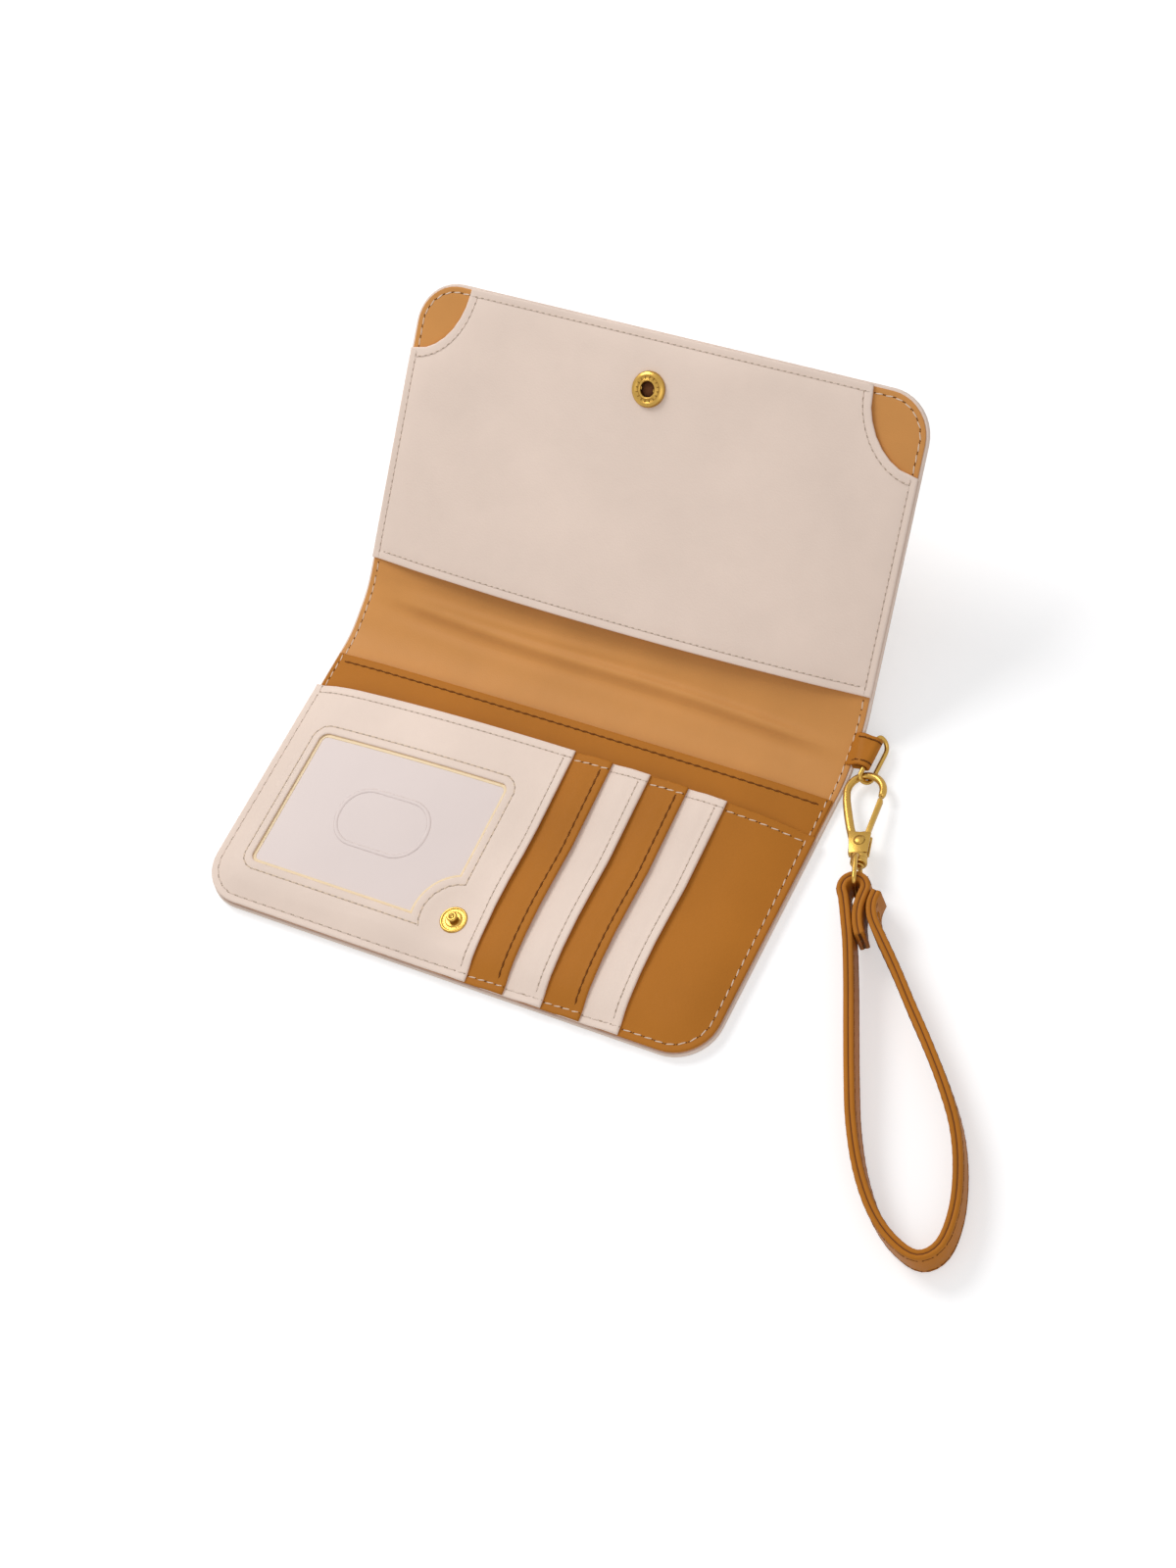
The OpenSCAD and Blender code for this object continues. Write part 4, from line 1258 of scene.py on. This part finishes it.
# A dark disc in the socket's bore: painted shade over the leather that would show there.
turned_piece("socket_bore_shade", [(0, 0.02), (2.7, 0.02), (2.7, 0.1), (0, 0.1)], socket_frame, painted_gap_shade,
             "flap", slot="gold_metal")
stud_frame = Matrix.Translation((stud_xs[0], stud_spot.y, stud_low.z / MM))
stud_side = [(1.25, 0.0), (4.95, 0.0), (4.9, 0.45), (4.6, 0.75), (4.25, 0.78), (4.0, 0.5),
             (3.0, 0.52), (2.7, 0.78), (1.7, 0.8), (1.25, 0.8), (1.25, 0.0)]
stud = turned_piece("snap_stud_flange", soft_corners(stud_side, 0.1), stud_frame, gold,
                    "front_panel", steps=56)
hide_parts("snap_stud")
post_side = [(0, -0.9), (2.9, -0.9), (3.0, -0.7), (2.9, -0.5), (1.2, -0.5), (1.2, 0.78),
             (1.6, 0.8), (1.6, 2.1), (1.88, 2.25), (1.9, 2.6), (1.7, 2.9), (1.15, 3.0),
             (0.9, 2.85), (0.85, 2.5), (0, 2.5)]
post = turned_piece("snap_post", post_side, stud_frame, gold, "front_panel")
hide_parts("stud_rivet")
cap_side = [(0, -1.05), (3.5, -1.0), (5.2, -0.75), (6.0, -0.35), (6.1, 0.0), (1.2, 0.0), (1.2, 3.8),
            (0, 3.8)]
cap = turned_piece("snap_cap_dome", cap_side, flat_frame(socket_x, socket_s, -2.5), gold, "flap")
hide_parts("snap_cap")


# %% Small notches round the snap's rings, in place of lettering, dark with painted shade
def notches(name, frame_matrix, radius, height, count, body, size=0.34):
    bm = bmesh.new()
    shape = Matrix.Translation((radius, 0, height)) @ Matrix.Diagonal(
        (size * 1.3, size * 0.8, 0.22, 1))
    for number in range(count):
        turn = Matrix.Rotation(math.tau * number / count, 4, "Z")
        bmesh.ops.create_uvsphere(bm, u_segments=8, v_segments=5, radius=1,
                                  matrix=frame_matrix @ turn @ shape)
    return finish_piece(bm, name, recess_shade_gold, body)


notches("socket_notches", socket_frame, 4.05, 1.38, 16, "flap")
notches("stud_notches", stud_frame, 3.5, 0.48, 24, "front_panel", 0.14)

# %% [markdown]
# ## Stitches
# Every seam is a row of short slanted stitches with a needle hole at each end of a stitch. A
# stitch is one small ball stretched long, sunk halfway into its groove, and a hole is a flat
# dark one whose colour is painted shade, not a real hollow. A row follows its line on a
# leather's face. The rows of one thread on one body are one piece, and their holes are
# another, since their painted shade is a finish of its own.


# %% Sew rows
PITCH, FINE = 3.9, 2.5            # from stitch to stitch, on the edges and on pockets
STITCH_SHARE, SLANT_TURN = 0.74, 7
REACH = 0.4                       # how far off a face is felt for its directions
PALE_GAP = (0.5, 0.3)             # half sizes of a hole in cream leather


def spaced(path, step):
    """Points evenly spaced along a flat path, with the direction there."""
    path = [np.array(point, float) for point in path]
    lengths = [np.linalg.norm(b - a) for a, b in zip(path, path[1:])]
    total, out = sum(lengths), []
    count = max(1, round(total / step))
    for number in range(count):
        left = total * (number + 0.5) / count
        for a, b, length in zip(path, path[1:], lengths):
            if left <= length or b is path[-1]:
                out.append((a + (b - a) * left / length, (b - a) / length))
                break
            left -= length
    return out


def stitch_axes(top, u, v, du, dv, side):
    """The directions along a row, across it and up from the face it lies on."""
    a, b = du * REACH, dv * REACH
    along = (top(u + a, v + b) - top(u - a, v - b)).normalized()
    across = (top(u - b, v + a) - top(u + b, v - a)).normalized()
    up = along.cross(across).normalized() * side
    slant = Matrix.Rotation(math.radians(SLANT_TURN), 3, up)
    return along, up, Matrix((slant @ along, slant @ across, up)).transposed().to_4x4()


def sew(name, rows, thread, body, step=PITCH, thick=0.5, side=1, gap=(0.42, 0.3)):
    """rows are (path, top): a flat path, and the face it lies on. side is -1 for a lower face."""
    hole = pale_hole_shade if thread in (pale_thread, window_thread) else needle_hole_shade
    threads, holes, length = bmesh.new(), bmesh.new(), step * STITCH_SHARE
    stitch = (Matrix.Diagonal((length / 2, thick / 2, thick * 0.42, 1))
              @ Matrix.Rotation(math.radians(90), 4, "Y"))
    for path, top in rows:
        for (u, v), (du, dv) in spaced(path, step):
            place = top(u, v)
            along, up, axes = stitch_axes(top, u, v, du, dv, side)
            middle = Matrix.Translation(place + up * 0.04) @ axes
            bmesh.ops.create_uvsphere(threads, u_segments=6, v_segments=5, radius=1,
                                      matrix=middle @ stitch)
            # Each end of a stitch gets a flat dark ball: the painted shade of its needle hole.
            for end in (-1, 1):
                hole_at = Matrix.Translation(place + along * end * (length / 2 + 0.1)) @ axes
                bmesh.ops.create_uvsphere(holes, u_segments=6, v_segments=3, radius=1,
                                          matrix=hole_at @ Matrix.Diagonal((*gap, 0.1, 1)))
    print(f"{name}: {len(threads.faces) // 30} stitches")
    return (finish_piece(threads, name, thread, body),
            finish_piece(holes, name + "_holes", hole, body, SLOT_OF[thread.name]))


# %% Where each row runs
def side_row(sign, start, end):
    x = sign * (half_w - SEAM_IN)
    return [(x, s) for s in np.linspace(start, end, 12)]


def corner_row():
    """Along the free edge of the front, round both corners."""
    return panel_outline(SEAM_IN, -front_l + corner_r)[:-2]


def on_front(x, s):
    """The uppermost leather of the front panel at a flat point."""
    if s > bill_top:
        return on_lining(x, s)
    if s > card_top:
        return tops["note_pocket"](x, s)
    if x < edge_x(id_edge, s):
        return tops["identity_panel"](x, s)
    for number, edge in enumerate(strip_edges):
        if x < edge_x(edge, s):
            return tops[f"card_strip_{number + 1}"](x, s)
    return tops["card_base_leather"](x, s)


def on_flap(x, s):
    if s < MOUTH_S or scoop_distance(x, s) < 0:
        return on_lining(x, s)
    return tops["flap_note_pocket"](x, s)


def is_cream(x, s):
    if s > card_top:
        return False
    edges = [edge_x(edge, s) for edge in (id_edge, *strip_edges)]
    return x < edges[0] or edges[1] < x < edges[2] or edges[3] < x < edges[4]


def split_rows(row, test):
    """Cuts a row where the leather under it changes colour, and drops the shortest bits."""
    parts, fine = {True: [], False: []}, []
    for a, b in zip(row, row[1:]):
        a, b = np.array(a), np.array(b)
        count = max(1, int(np.linalg.norm(b - a) / 0.5))
        fine += [a + (b - a) * part / count for part in range(count)]
    fine.append(np.array(row[-1]))
    current, state = [fine[0]], test(*fine[0])
    for point in fine[1:]:
        if test(*point) != state:
            parts[state].append(current)
            current, state = [point], not state
        current.append(point)
    parts[state].append(current)
    return {state: [part for part in found if len(part) > 8] for state, found in parts.items()}


outer_row = side_row(-1, -BEND, -front_l + corner_r)[:-1] + corner_row()
outer_row += side_row(1, -front_l + corner_r, -BEND)[1:]
mouth_end = half_w - SEAM_IN - SIDE_IN
mouth_row = [(x, card_top - SEAM_IN) for x in np.linspace(-mouth_end, mouth_end, 40)]
outer_parts, mouth_parts = split_rows(outer_row, is_cream), split_rows(mouth_row, is_cream)
outer_on_cream = [(part, on_front) for part in outer_parts[True]]
cream_rows = [(part, on_front) for part in mouth_parts[True]]
on_brown = [(part, on_front) for part in outer_parts[False] + mouth_parts[False]]


def hem_row(edge, name):
    low_s, high_s = front_s + SEAM_IN + 2, card_top - 4
    return [(edge_x(edge, s) - SEAM_IN, s) for s in np.linspace(low_s, high_s, 20)], tops[name]


def pocket_row(s):
    """Across a wide pocket beside its mouth, ending a little inside the outer seam."""
    return [(x, s) for x in np.linspace(5 - half_w, half_w - 5, 30)]


window_row = window_outline(SEAM_IN)
cream_rows += [hem_row(id_edge, "identity_panel"), hem_row(strip_edges[1], "card_strip_2"),
               hem_row(strip_edges[3], "card_strip_4")]
dark_rows = [hem_row(strip_edges[0], "card_strip_1"), hem_row(strip_edges[2], "card_strip_3")]
dark_rows.append((pocket_row(bill_top - SEAM_IN), tops["note_pocket"]))
sew("front_edge_on_cream", outer_on_cream, pale_thread, "front_panel", gap=PALE_GAP)
sew("front_seams_on_cream", cream_rows, pale_thread, "front_panel", step=FINE, gap=PALE_GAP)
sew("front_seams_on_brown", on_brown, cream_thread, "front_panel")
sew("front_dark_seams", dark_rows, brown_thread, "front_panel", step=3.4, thick=0.8)
sew("window_seam", [(window_row + window_row[:1], tops["identity_panel"])], window_thread,
    "front_panel", step=2.7, gap=PALE_GAP)
back_rows = [(side_row(sign, BEND, back_l - BEND), on_front) for sign in (-1, 1)]
sew("back_seams", back_rows, cream_thread, "back")

# %% Rows of the flap
far_row = [(x, far_s - (s + front_l)) for x, s in reversed(corner_row())]
flap_row = side_row(1, back_l + BEND, far_s - corner_r)[:-1] + far_row
flap_row += side_row(-1, far_s - corner_r, back_l + BEND)[1:]
flap_parts = split_rows(flap_row, lambda x, s: s > MOUTH_S and scoop_distance(x, s) > 0)
scoop_rows = [[(sign * x, s) for x, s in arc((half_w, far_s), (wide + SEAM_IN, long + SEAM_IN),
                                             264, 186, 12)]
              for sign, (wide, long) in SCOOPS.items()]
flap_cream = flap_parts[True] + scoop_rows + [pocket_row(MOUTH_S + SEAM_IN)]
sew("flap_seams_on_cream", [(row, on_flap) for row in flap_cream], pale_thread, "flap", step=FINE,
    gap=PALE_GAP)
sew("flap_seams_on_tan", [(row, on_flap) for row in flap_parts[False]], cream_thread, "flap")


# %% Rows outside the cover
def outside(x, s):
    return lay(x, s, cover_middle(x, s) - cover_full(x, s) / 2)


for part, body, rows in (("front", "front_panel", [outer_row]), ("flap", "flap", [flap_row]),
                         ("back", "back", [row for row, _ in back_rows])):
    sew(f"outside_{part}_seam", [(row, outside) for row in rows], pale_thread, body, side=-1)

# %% Rows across the bent folds
for half, facts in HALVES.items():
    start, end = facts["fold"] - BEND + 0.5, facts["fold"] + BEND - 0.5
    fold_rows = [side_row(sign, start, end) for sign in (-1, 1)]
    bent = sew(f"fold_seam_{half}", [(row, on_front) for row in fold_rows], cream_thread, None)
    bent += sew(f"outside_fold_seam_{half}", [(row, outside) for row in fold_rows], pale_thread,
                None, side=-1)
    for piece in bent:
        bend_at_fold(piece, half)

# %% Rows of the strap and the tab
def edge_rows(face, start, end, count, out):
    """A row beside each edge of a strap, out from its middle line."""
    return [([(u, v) for u in np.linspace(start, end, count)], face) for v in (-out, out)]


run = strap_run[-1]
for part, face, start, end, side_sign in (("outer", -STRAP_T, 2, run - 3, 1),
                                          ("inner", STRAP_T, 34, run - 14, -1)):
    sew(f"strap_{part}_seams", edge_rows(strap_face(face), start, end, 60, 4.1), brown_thread,
        "strap", side=side_sign)
sew("tab_seams", edge_rows(tab_face, 3, 17, 12, 4.2), brown_thread, "back", step=2.4)

# %% Finishes of the CAD parts that still show
SHOWN = {"socket_spring": gold, "gate_spring": gold, "stiffener_front": board,
         "stiffener_flap": board}
for name, finish in SHOWN.items():
    frame["nodes"][name].data.materials.clear()
    frame["nodes"][name].data.materials.append(finish)

# %% [markdown]
# ## The studio
# The photograph is a cut-out on white, lit softly from the upper left. One large soft light
# gives the gentle shadows under the hems, and a pale world fills them. The floor and the world
# look white to the camera, in the metal's mirror and through clear pieces, but light the leather
# less, so they don't wash it out.


# %% Lights
FLOOR_LIFT, FAR_LIFT = 0.42, 0.7      # what is seen on top of the lit floor, so that a shadow
                                      # stays; it grows far off, where the lamps don't reach
AIM = (0.02, 0.03, 0.0)


def area_light(name, place, size, watts):
    lamp = bpy.data.lights.new(name, "AREA")
    lamp.shape, lamp.size, lamp.energy = "DISK", size, watts
    light = bpy.data.objects.new(name, lamp)
    light.location = place
    light.rotation_euler = (Vector(AIM) - Vector(place)).to_track_quat("-Z", "Y").to_euler()
    scene.collection.objects.link(light)


area_light("key", (-0.75, 0.35, 0.95), 0.6, 7.2)
area_light("fill", (0.9, -0.9, 1.1), 1.4, 4.8)


# %% White to the camera, and to mirrors and glass, but no brighter for the leather
def seen_directly(tree):
    """1 for a ray from the camera, a mirrored one or one let through; 0 for light on leather."""
    path = tree.nodes.new("ShaderNodeLightPath")
    total = path.outputs["Is Camera Ray"]
    for kind in ("Is Glossy Ray", "Is Transmission Ray"):
        both = tree.nodes.new("ShaderNodeMath")
        both.operation, both.use_clamp = "ADD", True
        tree.links.new(total, both.inputs[0])
        tree.links.new(path.outputs[kind], both.inputs[1])
        total = both.outputs[0]
    return total


world = bpy.data.worlds.new("studio")
scene.world = world
world.use_nodes = True
background = world.node_tree.nodes["Background"]
sky = world.node_tree.nodes.new("ShaderNodeMix")
sky.data_type = "RGBA"
sky.inputs[MIX_FIRST].default_value = (0.46, 0.46, 0.47, 1)
sky.inputs[MIX_SECOND].default_value = (1, 1, 1, 1)
world.node_tree.links.new(seen_directly(world.node_tree), sky.inputs[MIX_FACTOR])
world.node_tree.links.new(sky.outputs[MIX_COLOUR], background.inputs["Color"])

# %% Floor
white, floor_shader = new_material("white_floor", (0.8, 0.8, 0.8), 1.0, Specular_IOR_Level=0.0)
far = add(white, "ShaderNodeVectorMath", Vector=object_place(white))
far.operation = "LENGTH"
more = add(white, "ShaderNodeMapRange", Value=far.outputs["Value"], From_Min=0.6, From_Max=1.8,
           To_Min=FLOOR_LIFT, To_Max=FAR_LIFT)
lift = white.node_tree.nodes.new("ShaderNodeMath")
lift.operation = "MULTIPLY"
white.node_tree.links.new(seen_directly(white.node_tree), lift.inputs[0])
white.node_tree.links.new(more.outputs["Result"], lift.inputs[1])
white.node_tree.links.new(lift.outputs[0], floor_shader.inputs["Emission Strength"])
floor_shader.inputs["Emission Color"].default_value = (1, 1, 1, 1)
bm = bmesh.new()
bmesh.ops.create_grid(bm, x_segments=1, y_segments=1, size=6 / MM)
bmesh.ops.translate(bm, vec=(0, 0, -0.2), verts=bm.verts[:])
floor = finish_piece(bm, "floor", white)

# %% [markdown]
# ## Where each thing shows in the image
# A thing's place in the image is the middle of its vertices that the camera sees. The object's
# own four edges are the outermost vertices of all its pieces. What differs is written to a file,
# so that a point can be moved to where its thing shows.

# %% Where things show
bpy.context.view_layer.update()
depsgraph = bpy.context.evaluated_depsgraph_get()
eye = camera.matrix_world.translation


def seen_middle(*pieces):
    """The middle of the vertices that the camera sees, as an image point."""
    found = []
    for piece in pieces:
        for vert in piece.data.vertices:
            way = vert.co - eye
            hit, place = scene.ray_cast(depsgraph, eye, way.normalized())[:2]
            if not hit or (place - eye).length > way.length - 0.0005:
                found.append(vert.co)
    found = image_points(found or [pieces[0].data.vertices[0].co])
    return (found.min(axis=0) + found.max(axis=0)) / 2


def vertex_points(piece):
    """All of a piece's vertices as image points."""
    places = np.empty(len(piece.data.vertices) * 3)
    piece.data.vertices.foreach_get("co", places)
    return image_points(places)


object_points = np.vstack([vertex_points(piece) for piece in scene.objects
                           if piece.type == "MESH" and not piece.hide_render and piece != floor])
lowest, highest = object_points.min(axis=0), object_points.max(axis=0)
window_corner = tops["identity_panel"](window_low.x, window_high.y - fold_low.y)
shown = {
    "left": (lowest[0], None), "right": (highest[0], None), "top": (None, lowest[1]),
    "bottom": (None, highest[1]), "stud": seen_middle(stud, post), "socket": seen_middle(socket),
    "thumb_slot": seen_middle(thumb_slot), "window_top_left": image_of(window_corner * MM),
    "hem_left": image_of(tops["flap_note_pocket"](-side, MOUTH_S) * MM),
    "hem_right": image_of(tops["flap_note_pocket"](side, MOUTH_S) * MM),
    "crease_left": image_of(on_lining(*crease_from) * MM),
    "crease_right": image_of(on_lining(*crease_to) * MM),
    "hook_rivet": seen_middle(rivet), "hook_top": (None, vertex_points(hook).min(axis=0)[1]),
    "tab_seam": image_of((tab_stations[2][0] + tab_stations[2][1] * TAB_T / 2) * MM),
    "tack": seen_middle(tack),
}
